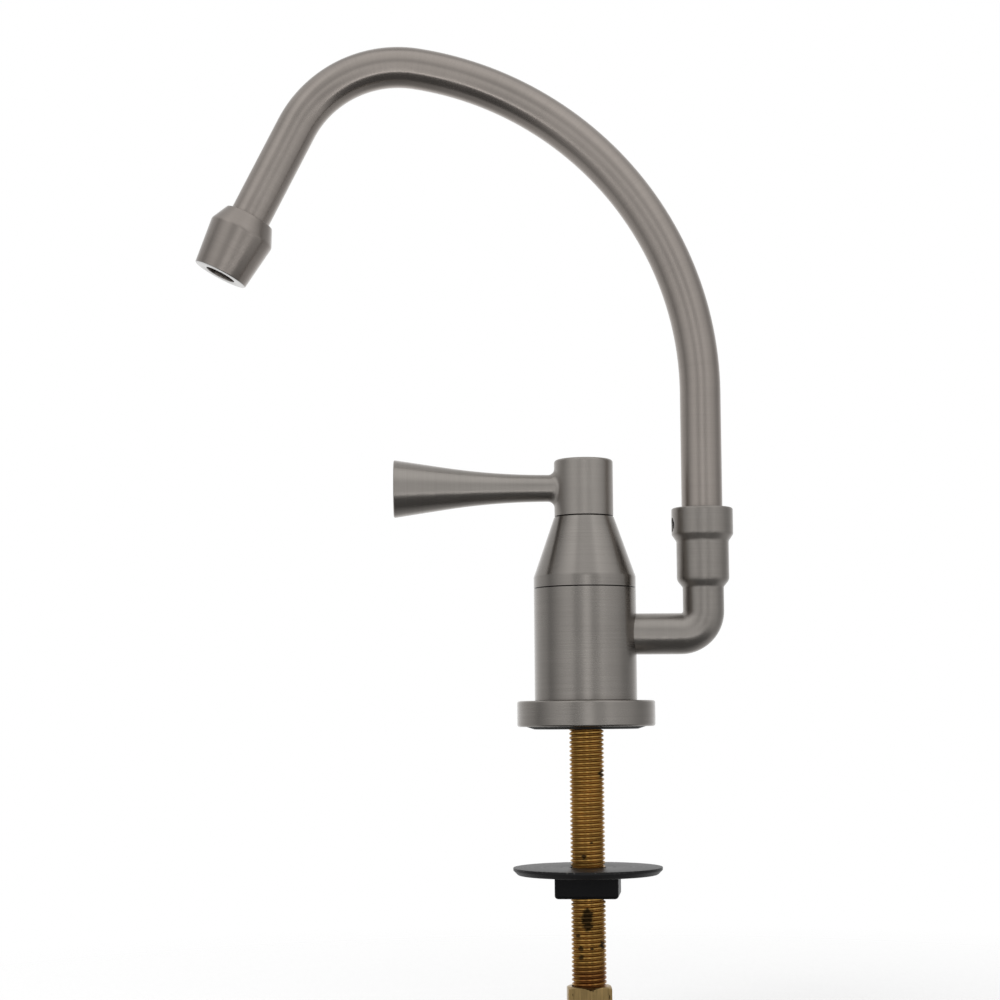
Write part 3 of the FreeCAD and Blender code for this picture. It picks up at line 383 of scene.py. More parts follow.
# Where the marks round the hub end and those round the lever are full, across from the hub's axis
HUB_SIDE = (-9.0 * MM, -12.5 * MM)
# The elbow: its arm's radius, and the radius that its steps look rounded by, with the samples for that
ARM_RADIUS = 7.15 * MM
ELBOW_SOFTENING = 1.2 * MM
SOFTENING_SAMPLES = 8
# The tube is smoother near its top: heights below the top where that begins and is full, and the
# roughness and brightness under and over them
SMOOTH_TOP = (-42.0 * MM, -18.0 * MM)
TUBE_ROUGHNESS = (0.33, 0.25)
TUBE_TONE = (1.05, 0.98)
# The nozzle, and the machined face round its mouth: the face's depth, marks per metre across and along
# its rings, and its range of brightness and roughness
NOZZLE_TONE = 0.92
MOUTH_FACE = 0.15 * MM
MOUTH_RINGS = (4200.0, 20.0)
MOUTH_TONE = (0.92, 1.05)
MOUTH_ROUGHNESS = (0.14, 0.22)

Finish = namedtuple("Finish", "level roughness height grain")


class Brush:
    """Where a point is along and round a turned piece's axis, for marks that run round that axis."""

    # Marks per metre across the stroke and along it
    FINE = (2600.0, 42.0)
    COARSE = (620.0, 16.0)
    # The grain leans outwards by this, so that it also lies on an end face
    LEAN = 0.05

    def __init__(self, graph, centre, axis):
        self.graph = graph
        self.axis = axis
        self.offset = graph.vector("SUBTRACT", graph.object_place(), centre)
        self.along = graph.vector("DOT_PRODUCT", self.offset, axis, output="Value")
        across = graph.vector("SUBTRACT", self.offset, graph.scaled(axis, self.along))
        radius = graph.vector("LENGTH", across, output="Value")
        # Along the wall on a side, and outwards on an end face
        self.run = graph.math("SUBTRACT", self.along, radius)
        outwards = graph.vector("NORMALIZE", across)
        self.grain = graph.vector("ADD", axis, graph.scaled(outwards, self.LEAN))

    def marks(self, across, along):
        stroke = self.graph.scaled(self.offset, along)
        step = self.graph.scaled(self.axis, self.graph.math("MULTIPLY", self.run, across))
        return self.graph.noise(self.graph.vector("ADD", stroke, step))


class PathBrush(Brush):
    """The same for a bent tube, whose mesh carries the distance and direction along its path."""

    def __init__(self, graph):
        self.graph = graph
        self.axis = UP
        self.offset = graph.object_place()
        self.along = graph.add("Attribute", output="Fac", attribute_name=PATH_ALONG)
        self.run = self.along
        self.grain = graph.add("Attribute", output="Vector", attribute_name=PATH_DIRECTION)


def brushed(graph, brush, marks, roughness, tone=1.0, waves=0.0, joint=None):
    """Brush marks and clouds of handling and, where asked for, a casting's waves or a line of painted shade
    in a joint.
    """
    fine = brush.marks(*brush.FINE)
    coarse = brush.marks(*brush.COARSE)
    cloud = graph.noise(brush.offset, scale=CLOUD_SCALE, detail=3.0)
    fine_part = graph.stretch(fine, *MARK_RANGE, -FINE_SHIFT * marks, FINE_SHIFT * marks)
    coarse_part = graph.stretch(coarse, *MARK_RANGE, -COARSE_SHIFT * marks, COARSE_SHIFT * marks)
    streak = graph.math("ADD", fine_part, coarse_part)
    level = graph.math("ADD", streak, graph.vary(cloud, *CLOUD_TONE))
    level = graph.math("MULTIPLY", level, tone)
    # A dark line of painted shade along the joint
    if joint is not None:
        away = graph.math("ABSOLUTE", graph.math("SUBTRACT", brush.along, joint))
        level = graph.math("MULTIPLY", level, graph.stretch(away, *JOINT_SHADE_LINE, JOINT_SHADE_TONE, 1.0))
    handled = graph.vary(cloud, *CLOUD_ROUGHNESS)
    rough = graph.math("ADD", graph.math("MULTIPLY_ADD", streak, SHIFT_TO_ROUGHNESS, handled), roughness)
    wave = graph.math("MULTIPLY", graph.noise(brush.offset, scale=WAVE_SCALE), waves)
    height = graph.math("MULTIPLY_ADD", fine, marks, wave)
    return Finish(level, rough, height, brush.grain)


def blended(graph, share, first, second):
    """Two finishes on one piece, the second by its share."""
    kinds = ("FLOAT", "FLOAT", "FLOAT", "VECTOR")
    return Finish(*(graph.mix(share, *pair, kind) for *pair, kind in zip(first, second, kinds)))


def finish_nickel(graph, finish, colour, anisotropy=0.7, softened=0.0):
    """The metal itself, with steps shaded as if rounded by a radius, if one is given."""
    surface = {}
    if softened:
        surface["Normal"] = graph.add("Bevel", {"Radius": softened}, samples=SOFTENING_SAMPLES)
    graph.finish(graph.add("BsdfPrincipled", {
        "Base Color": colour, "Metallic": 1.0, "Roughness": finish.roughness, "Anisotropic": anisotropy,
        "Normal": graph.bump(finish.height, BRUSH_DEPTH, BRUSH_BUMP, **surface),
        "Tangent": graph.to_world(finish.grain),
    }))


def turned_nickel(name, marks, roughness, joint=None):
    """Nickel turned and brushed about the faucet's own axis, with a line of painted shade at a joint if one
    is given.
    """
    material, graph = new_graph(name)
    finish = brushed(graph, Brush(graph, ORIGIN, UP), marks, roughness, joint=joint)
    finish_nickel(graph, finish, graph.scaled(NICKEL, finish.level))
    return material


def lever_nickel():
    """Marks round the hub's axis on the hub and round the lever's own axis on the lever."""
    material, graph = new_graph("lever_nickel")
    lowest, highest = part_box("lever_handle")
    lever_axis = Vector((0.0, 0.0, (lowest.z + highest.z) / 2))
    round_hub = Brush(graph, ORIGIN, UP)
    round_lever = Brush(graph, lever_axis, SIDEWAYS)
    hub = brushed(graph, round_hub, marks=0.2, roughness=0.40, tone=HUB_TONE)
    lever = brushed(graph, round_lever, marks=0.4, roughness=0.34, tone=CAST_TONE, waves=LEVER_WAVES)
    share = graph.stretch(graph.split(graph.object_place())["X"], *HUB_SIDE)
    finish = blended(graph, share, hub, lever)
    finish_nickel(graph, finish, graph.scaled(NICKEL, finish.level), anisotropy=0.6)
    return material


def elbow_nickel(spout_x):
    """Marks round the arm's axis on the arm and round the spout's own axis above the bend."""
    material, graph = new_graph("elbow_nickel")
    spout_axis = Vector((spout_x, 0.0, 0.0))
    arm_axis = Vector((0.0, 0.0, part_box("outlet_elbow")[0].z + ARM_RADIUS))
    round_spout = Brush(graph, spout_axis, UP)
    round_arm = Brush(graph, arm_axis, SIDEWAYS)
    upright = brushed(graph, round_spout, marks=0.3, roughness=0.38, tone=CUP_TONE, waves=ELBOW_WAVES)
    arm = brushed(graph, round_arm, marks=0.3, roughness=0.36, tone=CAST_TONE, waves=ELBOW_WAVES)
    from_corner = graph.vector("SUBTRACT", graph.object_place(), spout_axis + arm_axis)
    past_corner = graph.vector("DOT_PRODUCT", from_corner, SIDEWAYS + UP, output="Value")
    share = graph.stretch(past_corner, ARM_RADIUS / 2, -ARM_RADIUS / 2)
    finish = blended(graph, share, upright, arm)
    finish_nickel(graph, finish, graph.scaled(NICKEL, finish.level), softened=ELBOW_SOFTENING)
    return material


def tube_nickel(top):
    """Marks round the tube along its whole path, and a smoother top."""
    material, graph = new_graph("tube_nickel")
    brush = PathBrush(graph)
    below_top = graph.math("SUBTRACT", graph.split(brush.offset)["Z"], top)
    roughness = graph.stretch(below_top, *SMOOTH_TOP, *TUBE_ROUGHNESS)
    tone = graph.stretch(below_top, *SMOOTH_TOP, *TUBE_TONE)
    finish = brushed(graph, brush, marks=0.25, roughness=roughness, tone=tone)
    finish_nickel(graph, finish, graph.scaled(WARM_NICKEL, finish.level), anisotropy=0.6)
    return material


def nozzle_nickel(centre, axis):
    """Brushed outside, with a bright machined face round the mouth."""
    material, graph = new_graph("nozzle_nickel")
    brush = Brush(graph, centre, axis)
    finish = brushed(graph, brush, marks=0.3, roughness=0.30, tone=NOZZLE_TONE)
    rings = brush.marks(*MOUTH_RINGS)
    at_face = graph.math("LESS_THAN", brush.along, MOUTH_FACE)
    face_colour = graph.scaled(MOUTH_NICKEL, graph.vary(rings, *MOUTH_TONE))
    face_rough = graph.vary(rings, *MOUTH_ROUGHNESS)
    colour = graph.mix(at_face, graph.scaled(WARM_NICKEL, finish.level), face_colour)
    finish = finish._replace(roughness=graph.mix(at_face, finish.roughness, face_rough, "FLOAT"))
    finish_nickel(graph, finish, colour)
    return material


# Brass

# Stains on the shank: across, height and size in millimetres, all on the camera's side
STAINS = (
    (-0.8, -63.2, 2.3), (-1.0, -64.9, 2.2), (-0.8, -66.9, 1.9), (5.0, -15.3, 1.5), (-3.3, -74.7, 1.2),
    (4.6, -73.7, 1.5), (-3.2, -77.7, 1.1), (0.6, -74.6, 0.6), (-1.8, -43.6, 1.0), (1.0, -39.0, 0.6),
    (-4.0, -70.3, 0.9),
)
# Their ragged edge: its scale, and as multiples of a stain's size, how far it wavers and where the stain
# begins and is full. Then how much a stain covers and how much rougher it is
RAGGED_SCALE = 700.0
RAGGED_REACH = 1.2
STAIN_EDGE = (1.75, 1.3)
STAIN_COVER = 0.88
STAIN_ROUGHNESS = 0.3
# Clouds and grain on the shank
SHANK_CLOUD_SCALE = 160.0
SHANK_GRAIN_SCALE = 900.0
SHANK_GRAIN_DEPTH = 0.03 * MM
SHANK_GRAIN_BUMP = 0.2
# By cloud: the range of tarnish with the brightness that it is set to, the range where red shows, and the
# added roughness. By grain: the brightness
TARNISH = (0.35, 0.75, 1.08, 0.72)
RED_CLOUDS = (0.25, 0.5)
SHANK_CLOUD_ROUGHNESS = (-0.04, 0.06)
SHANK_GRAIN_TONE = (0.93, 1.05)
# Between the thread's root, 0, and its crest, 1: a range with the brightness or roughness it is set to. The
# brightness is painted light: the roots are painted lighter against the shade in their grooves and the crests
# a little darker
THREAD_PAINTED_LIGHT = (0.0, 0.7, 1.06, 0.95)
CREST_ROUGHNESS = (0.6, 1.0, 0.46, 0.09)
# The same by height: lower down, under the washer and the nut, the brass is darker, partly painted shade and
# partly heavier staining
LOWER_SHADE_AND_STAINING = (-50.0 * MM, -58.0 * MM, 1.0, 0.91)
# The red lower end: the height that it fades over, and how red it gets
RED_FADE = 5.0 * MM
RED_SHARE = 0.95


def stained(graph, place, radius):
    """How soiled a point is by the nearest of the stains."""
    ragged = graph.noise(place, scale=RAGGED_SCALE, detail=3.0)
    soiled = 0.0
    for across, height, size in STAINS:
        depth = -math.sqrt(radius ** 2 - (across * MM) ** 2)
        middle = Vector((across * MM, depth, height * MM))
        away = graph.vector("DISTANCE", place, middle, output="Value")
        spread = graph.math("MULTIPLY_ADD", ragged, RAGGED_REACH * size * MM, away)
        edge = graph.stretch(spread, *(share * size * MM for share in STAIN_EDGE))
        soiled = graph.math("MAXIMUM", soiled, edge)
    return soiled


def shank_brass(radius, thread_depth, reddened):
    """Brass thread with dull roots painted lighter against their shade, polished crests, tarnish, dark stains
    and a redder lower end.
    """
    material, graph = new_graph("shank_brass")
    place = graph.object_place()
    height = graph.split(place)["Z"]
    crest = graph.stretch(graph.from_axis(place), radius - thread_depth, radius)
    cloud = graph.noise(place, scale=SHANK_CLOUD_SCALE, detail=4.0)
    grain = graph.noise(place, scale=SHANK_GRAIN_SCALE)
    level = graph.math("MULTIPLY", graph.stretch(cloud, *TARNISH), graph.vary(grain, *SHANK_GRAIN_TONE))
    # Painted light: the roots lighter against the shade in the grooves, the crests a little darker
    level = graph.math("MULTIPLY", level, graph.stretch(crest, *THREAD_PAINTED_LIGHT))
    # Darker lower down: painted shade under the washer and nut, and heavier staining
    level = graph.math("MULTIPLY", level, graph.stretch(height, *LOWER_SHADE_AND_STAINING))
    low = graph.stretch(height, reddened, reddened - RED_FADE, 0.0, RED_SHARE)
    red = graph.math("MULTIPLY", low, graph.stretch(cloud, *RED_CLOUDS))
    soiled = stained(graph, place, radius)
    colour = graph.mix(red, graph.scaled(BRASS, level), opaque(RED_BRASS))
    colour = graph.mix(graph.math("MULTIPLY", soiled, STAIN_COVER), colour, opaque(STAIN))
    uneven = graph.vary(cloud, *SHANK_CLOUD_ROUGHNESS)
    polish = graph.math("ADD", uneven, graph.stretch(crest, *CREST_ROUGHNESS))
    graph.finish(graph.add("BsdfPrincipled", {
        "Base Color": colour, "Metallic": 1.0,
        "Roughness": graph.math("MULTIPLY_ADD", soiled, STAIN_ROUGHNESS, polish),
        "Normal": graph.bump(grain, SHANK_GRAIN_DEPTH, SHANK_GRAIN_BUMP),
    }))
    return material


# Machined brass: scales of its scratches and pits, across and upwards, and of its tarnish
SCRATCH_SCALE = (1500.0, 1500.0, 110.0)
PIT_SCALE = (900.0, 900.0, 420.0)
TARNISH_SCALE = 200.0
# Scratches at full strength: change of brightness, depth and bump
SCRATCH_SHIFT = (-0.25, 0.2)
SCRATCH_DEPTH = 0.03 * MM
SCRATCH_BUMP = 0.3
# Pits: the range of their noise where one begins and is full, and how much it covers
PIT_RANGE = (0.66, 0.72)
PIT_COVER = 0.75
# What the tarnish does: range of brightness and of added roughness
WORN_TONE = (0.82, 1.08)
WORN_ROUGHNESS = (-0.05, 0.08)


def worn_brass(name, colour, scratches, roughness=0.36):
    """Machined brass with upright scratches, pits and tarnish."""
    material, graph = new_graph(name)
    place = graph.object_place()
    lines = graph.noise(graph.vector("MULTIPLY", place, SCRATCH_SCALE), detail=3.0)
    cloud = graph.noise(place, scale=TARNISH_SCALE, detail=4.0)
    pits = graph.noise(graph.vector("MULTIPLY", place, PIT_SCALE), detail=1.0)
    scratch = graph.vary(lines, *(1.0 + shift * scratches for shift in SCRATCH_SHIFT))
    level = graph.math("MULTIPLY", graph.vary(cloud, *WORN_TONE), scratch)
    pit = graph.stretch(pits, *PIT_RANGE, 0.0, PIT_COVER * scratches)
    graph.finish(graph.add("BsdfPrincipled", {
        "Base Color": graph.mix(pit, graph.scaled(colour, level), opaque(STAIN)), "Metallic": 1.0,
        "Roughness": graph.vary(cloud, *(roughness + change for change in WORN_ROUGHNESS)),
        "Normal": graph.bump(lines, SCRATCH_DEPTH, SCRATCH_BUMP * scratches),
    }))
    return material


# Plastics, rubber and the small inner pieces

# Clouds of colour and gloss, the grain's share in the colour's variation, how far the roughness varies
# either way, and the grain's bump
MOULDED_CLOUD_SCALE = 95.0
GRAIN_SHARE = 0.5
GLOSS_VARIATION = 0.05
MOULDED_BUMP = 0.35
# Specular level of the black plastic and rubber
MATT_SPECULAR = 0.12


def moulded(name, colour, roughness, grain_scale, grain_depth, variation=0.12, **settings):
    """A moulded or pressed material: grain in the surface, uneven gloss and slight clouds of colour."""
    material, graph = new_graph(name)
    place = graph.object_place()
    grain = graph.noise(place, scale=grain_scale, detail=3.0)
    cloud = graph.noise(place, scale=MOULDED_CLOUD_SCALE, detail=3.0)
    grain_variation = GRAIN_SHARE * variation
    level = graph.math("ADD", graph.vary(cloud, 1.0 - variation, 1.0 + variation),
                       graph.vary(grain, -grain_variation, grain_variation))
    graph.finish(graph.add("BsdfPrincipled", {
        "Base Color": graph.scaled(colour, level), "Normal": graph.bump(grain, grain_depth, MOULDED_BUMP),
        "Roughness": graph.vary(cloud, roughness - GLOSS_VARIATION, roughness + GLOSS_VARIATION), **settings,
    }))
    return material


# The washer's grain and shine, and the specks that its nicks are made of
WASHER_GRAIN_SCALE = 1500.0
WASHER_GRAIN_DEPTH = 0.05 * MM
WASHER_BUMP = 0.4
WASHER_SPECULAR = 0.2
SPECK_SCALE = 1300.0
# Where nicks begin and are full: heights from the washer's upper edge, distances from its rim, and the
# range of the specks' noise. Then how pale they are
NICKED_HEIGHT = (-0.7 * MM, -0.3 * MM)
NICKED_RIM = (-0.5 * MM, -0.2 * MM)
NICK_RANGE = (0.62, 0.70)
NICK_COVER = 0.55
# Dusty rings per metre, the range of their noise with the dust that it is set to, and their roughness
DUST_RINGS = 900.0
RING_DUST = (0.35, 0.75, 0.0, 0.10)
RING_ROUGHNESS = (0.36, 0.48)


def washer_plastic(radius, top):
    """Black plastic with pale nicks along the upper edge and dusty rings on the faces."""
    material, graph = new_graph("washer_plastic")
    place = graph.object_place()
    out = graph.from_axis(place)
    grain = graph.noise(place, scale=WASHER_GRAIN_SCALE, detail=3.0)
    specks = graph.noise(place, scale=SPECK_SCALE, detail=1.0)
    rings = graph.noise(graph.scaled(UP, graph.math("MULTIPLY", out, DUST_RINGS)))
    at_top = graph.stretch(graph.math("SUBTRACT", graph.split(place)["Z"], top), *NICKED_HEIGHT)
    at_rim = graph.stretch(graph.math("SUBTRACT", out, radius), *NICKED_RIM)
    at_edge = graph.math("MULTIPLY", at_top, at_rim)
    nick = graph.math("MULTIPLY", at_edge, graph.stretch(specks, *NICK_RANGE))
    dust = graph.stretch(rings, *RING_DUST)
    cover = graph.math("MAXIMUM", dust, graph.math("MULTIPLY", nick, NICK_COVER))
    graph.finish(graph.add("BsdfPrincipled", {
        "Base Color": graph.mix(cover, opaque(BLACK_PLASTIC), opaque(DUST)),
        "Specular IOR Level": WASHER_SPECULAR,
        "Roughness": graph.vary(rings, *RING_ROUGHNESS),
        "Normal": graph.bump(graph.math("SUBTRACT", grain, nick), WASHER_GRAIN_DEPTH, WASHER_BUMP),
    }))
    return material


# Meshes

# Points closer than the first become one, and edges shorter than the second are taken out
JOIN = 1e-6
SLIVER = JOIN / 10


def rounded_outline(corners, steps=5):
    """A closed outline through (radius, height, rounding) corners, each rounding as an arc."""
    outline = []
    count = len(corners)
    for index, (radius, height, rounding) in enumerate(corners):
        corner = Vector((radius, height))
        if rounding == 0:
            outline.append(corner)
            continue
        before = (Vector(corners[index - 1][:2]) - corner).normalized()
        after = (Vector(corners[(index + 1) % count][:2]) - corner).normalized()
        half = before.angle(after) / 2
        middle = corner + (before + after).normalized() * rounding / math.sin(half)
        start = corner + before * rounding / math.tan(half) - middle
        finish = corner + after * rounding / math.tan(half) - middle
        sweep = start.angle(finish)
        for step in range(steps + 1):
            share = step / steps
            blend = start * math.sin((1 - share) * sweep) + finish * math.sin(share * sweep)
            outline.append(middle + blend / math.sin(sweep))
    return outline


def ring(mesh, segments, height, radius):
    """A row of points round the vertical axis. radius is a number, or a function of the point's number."""
    row = []
    for index in range(segments):
        angle = math.tau * index / segments
        out = radius(index) if callable(radius) else radius
        row.append(mesh.verts.new((out * math.cos(angle), out * math.sin(angle), height)))
    return row


def quad_rows(mesh, rows):
    """Faces between rows of points that each close on themselves."""
    for lower, upper in zip(rows, rows[1:]):
        count = len(lower)
        for index in range(count):
            following = (index + 1) % count
            mesh.faces.new((lower[index], lower[following], upper[following], upper[index]))


def turned_mesh(outline, segments):
    """A closed outline of (radius, height) points turned round the vertical axis."""
    mesh = bmesh.new()
    rows = [ring(mesh, segments, height, radius) for radius, height in outline]
    quad_rows(mesh, [*rows, rows[0]])
    return mesh


def add_piece(name, shape, body, material, replaced, crease=30.0):
    """Make a piece of a mesh, on the body that carries it, in place of a node."""
    bmesh.ops.recalc_face_normals(shape, faces=shape.faces)
    mesh = bpy.data.meshes.new(name)
    shape.to_mesh(mesh)
    shape.free()
    mesh.shade_smooth()
    mesh.set_sharp_from_angle(angle=math.radians(crease))
    mesh.materials.append(material)
    piece = link_object(bpy.data.objects.new(name, mesh))
    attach(piece, body)
    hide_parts(replaced)


# Spout tube, from the frame's box and the bends' own sizes

BEND_START = 117.6 * MM
BEND_RADIUS = 117.5 * MM
BEND_TURN = math.radians(81.0)
CROOK_RADIUS = 40.5 * MM
OUTLET_TILT = math.radians(27.0)
OUTLET_STRAIGHT = 45.8 * MM
TUBE_WALL = 1.0 * MM
TUBE_SIDES = 72
ARC_STEP = math.radians(1.5)
STRAIGHT_STEP = 3.0 * MM


def tube_path(riser_x, foot):
    """Points of the tube's centreline with the direction there, from the riser's foot to the outlet."""
    path = []

    def straight(start, direction, length):
        count = max(1, round(length / STRAIGHT_STEP))
        for index in range(count):
            path.append((start + direction * length * index / count, direction))
        return start + direction * length

    def arc(start, direction, radius, turn):
        inwards = Vector((-direction.z, 0.0, direction.x))
        centre = start + inwards * radius

        def at(angle):
            point = centre + (direction * math.sin(angle) - inwards * math.cos(angle)) * radius
            return point, direction * math.cos(angle) + inwards * math.sin(angle)

        count = round(turn / ARC_STEP)
        path.extend(at(turn * index / count) for index in range(count))
        return at(turn)

    point = straight(Vector((riser_x, 0.0, foot)), UP, BEND_START - foot)
    point, heading = arc(point, UP, BEND_RADIUS, BEND_TURN)
    point, heading = arc(point, heading, CROOK_RADIUS, math.pi - BEND_TURN - OUTLET_TILT)
    point = straight(point, heading, OUTLET_STRAIGHT)
    path.append((point, heading))
    return path


def add_tube(riser_x, radius):
    lowest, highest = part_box("spout_tube")
    path = tube_path(riser_x, lowest.z)
    mesh = bmesh.new()
    along_layer = mesh.verts.layers.float.new(PATH_ALONG)
    direction_layer = mesh.verts.layers.float_vector.new(PATH_DIRECTION)
    level = Vector((0.0, 1.0, 0.0))
    walls = []
    for wall in (radius, radius - TUBE_WALL):
        rows = []
        along = 0.0
        previous = path[0][0]
        for point, heading in path:
            along += (point - previous).length
            previous = point
            outwards = level.cross(heading)
            row = []
            for index in range(TUBE_SIDES):
                angle = math.tau * index / TUBE_SIDES
                vert = mesh.verts.new(point + (outwards * math.cos(angle) + level * math.sin(angle)) * wall)
                vert[along_layer] = along
                vert[direction_layer] = heading
                row.append(vert)
            rows.append(row)
        quad_rows(mesh, rows)
        walls.append(rows)
    outer, inner = walls
    quad_rows(mesh, [outer[0], inner[0]])
    quad_rows(mesh, [outer[-1], inner[-1]])
    material = tube_nickel(highest.z)
    add_piece("spout_pipe", mesh, "spout", material, "spout_tube", crease=40.0)


# Nozzle, about the outlet's own axis

NOZZLE_LENGTH = 22.6 * MM
NOZZLE_MOUTH = 9.7 * MM
NOZZLE_WAIST = 11.65 * MM
NOZZLE_WAIST_HEIGHT = 16.5 * MM
NOZZLE_COLLAR = 8.8 * MM
NOZZLE_SOCKET = 7.2 * MM
NOZZLE_SEAT = 12.0 * MM
NOZZLE_STEP = 6.05 * MM
NOZZLE_BORE = 5.4 * MM
NOZZLE_BORE_DEPTH = 9.2 * MM
NOZZLE_EDGE = 0.35 * MM
NOZZLE_WAIST_ROUNDING = 1.9 * MM
BORE_EDGE = 0.25 * MM
SOCKET_EDGE = 0.12 * MM
SERRATIONS = 56
SERRATION_DEPTH = 0.35 * MM
SERRATION_LOW = 1.0 * MM
SERRATION_HIGH = 8.5 * MM
SERRATION_END = 0.2 * MM
# Points to a serration, half of them in its groove
SERRATION_POINTS = 4


def outlet_frame():
    """The outlet's mouth and the axis up the tube, from the record's mount in the bore's middle."""
    mount = next(item for item in frame["record"]["mounts"] if item["name"] == "spout_outlet")
    outwards = Vector(mount["axis"])
    half_bore = mount["dims"]["length_mm"] * MM / 2
    return Vector(mount["pos_m"]) + outwards * half_bore, -outwards


def add_nozzle():
    outline = rounded_outline([
        (NOZZLE_BORE, 0.0, BORE_EDGE),
        (NOZZLE_MOUTH, 0.0, NOZZLE_EDGE),
        (NOZZLE_WAIST, NOZZLE_WAIST_HEIGHT, NOZZLE_WAIST_ROUNDING),
        (NOZZLE_COLLAR, NOZZLE_LENGTH, NOZZLE_EDGE),
        (NOZZLE_SOCKET, NOZZLE_LENGTH, SOCKET_EDGE),
        (NOZZLE_SOCKET, NOZZLE_SEAT, 0.0),
        (NOZZLE_STEP, NOZZLE_SEAT, 0.0),
        (NOZZLE_STEP, NOZZLE_BORE_DEPTH, 0.0),
        (NOZZLE_BORE, NOZZLE_BORE_DEPTH, 0.0),
        (NOZZLE_BORE, SERRATION_HIGH + SERRATION_END, 0.0),
        (NOZZLE_BORE, SERRATION_HIGH, 0.0),
        (NOZZLE_BORE, SERRATION_LOW, 0.0),
        (NOZZLE_BORE, SERRATION_LOW - SERRATION_END, 0.0),
    ])

    def serrated(index):
        in_groove = index % SERRATION_POINTS < SERRATION_POINTS // 2
        return NOZZLE_BORE + SERRATION_DEPTH if in_groove else NOZZLE_BORE

    def grooved(radius, height):
        in_bore = abs(radius - NOZZLE_BORE) < JOIN
        return in_bore and SERRATION_LOW - JOIN < height < SERRATION_HIGH + JOIN

    sides = [(serrated if grooved(radius, height) else radius, height) for radius, height in outline]
    mesh = turned_mesh(sides, SERRATIONS * SERRATION_POINTS)
    mouth, axis = outlet_frame()
    turn = UP.rotation_difference(axis).to_matrix().to_4x4()
    bmesh.ops.transform(mesh, matrix=Matrix.Translation(mouth) @ turn, verts=mesh.verts)
    add_piece("spout_tip", mesh, "spout", nozzle_nickel(mouth, axis), "spout_nozzle")


# Threads

THREAD_SEGMENTS = 48
THREAD_SLOPE = math.radians(30.0)
# Width of the crest as a share of the pitch
THREAD_CREST = 0.3


def thread(mesh, radius, depth, pitch, low, high, bore):
    """A screw thread with chamfered ends round a bore, from low to high."""
    root = radius - depth
    flank = depth * math.tan(THREAD_SLOPE)
    crest = THREAD_CREST * pitch
    profile = ((0.0, root), (flank, radius), (flank + crest, radius), (2 * flank + crest, root))
    # One turn more at each end, which is flattened there
    turns = math.ceil((high - low) / pitch) + 2
    first = low - pitch
    grid = []
    for index in range(turns * THREAD_SEGMENTS + 1):
        angle = math.tau * index / THREAD_SEGMENTS
        lift = first + pitch * index / THREAD_SEGMENTS
        strip = []
        for rise, out in profile:
            height = min(max(lift + rise, low), high)
            reach = min(out, root + min(height - low, high - height))
            strip.append(mesh.verts.new((reach * math.cos(angle), reach * math.sin(angle), height)))
        grid.append(strip)
    for index, (near, far) in enumerate(zip(grid, grid[1:])):
        for step in range(len(profile) - 1):
            mesh.faces.new((near[step], far[step], far[step + 1], near[step + 1]))
        above = index + THREAD_SEGMENTS
        if above + 1 < len(grid):
            mesh.faces.new((near[-1], far[-1], grid[above + 1][0], grid[above][0]))
    bmesh.ops.remove_doubles(mesh, verts=mesh.verts, dist=JOIN)
    bmesh.ops.dissolve_degenerate(mesh, edges=mesh.edges, dist=SLIVER)
    ends = ((root, high), (bore, high), (bore, low), (root, low))
    quad_rows(mesh, [ring(mesh, THREAD_SEGMENTS, height, out) for out, height in ends])
    bmesh.ops.remove_doubles(mesh, verts=mesh.verts, dist=JOIN)


SHANK_PITCH = 1.5 * MM
SHANK_DEPTH = 0.80 * MM
SHANK_BORE = 3.5 * MM
# Height above the adapter where the brass begins to turn red
SHANK_RED_HEIGHT = 8.5 * MM


def add_shank():
    lowest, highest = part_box("threaded_shank")
    radius = highest.x
    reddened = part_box("inlet_adapter")[1].z + SHANK_RED_HEIGHT
    mesh = bmesh.new()
    thread(mesh, radius, SHANK_DEPTH, SHANK_PITCH, lowest.z, highest.z, SHANK_BORE)
    material = shank_brass(radius, SHANK_DEPTH, reddened)
    add_piece("shank_thread", mesh, "base", material, "threaded_shank")


HEX_HEIGHT = 14.0 * MM
HEX_SEGMENTS = 144
HEX_CHAMFER_INSET = 0.3 * MM
HEX_CHAMFER_STEPS = 6
HEX_SLOPE = math.radians(30.0)
HEX_SOCKET = 6.05 * MM
HEX_SOCKET_DEPTH = 8.0 * MM
STUB_RADIUS = 5.55 * MM
STUB_BORE = 2.5 * MM
STUB_PITCH = 1.06 * MM
STUB_DEPTH = 0.55 * MM


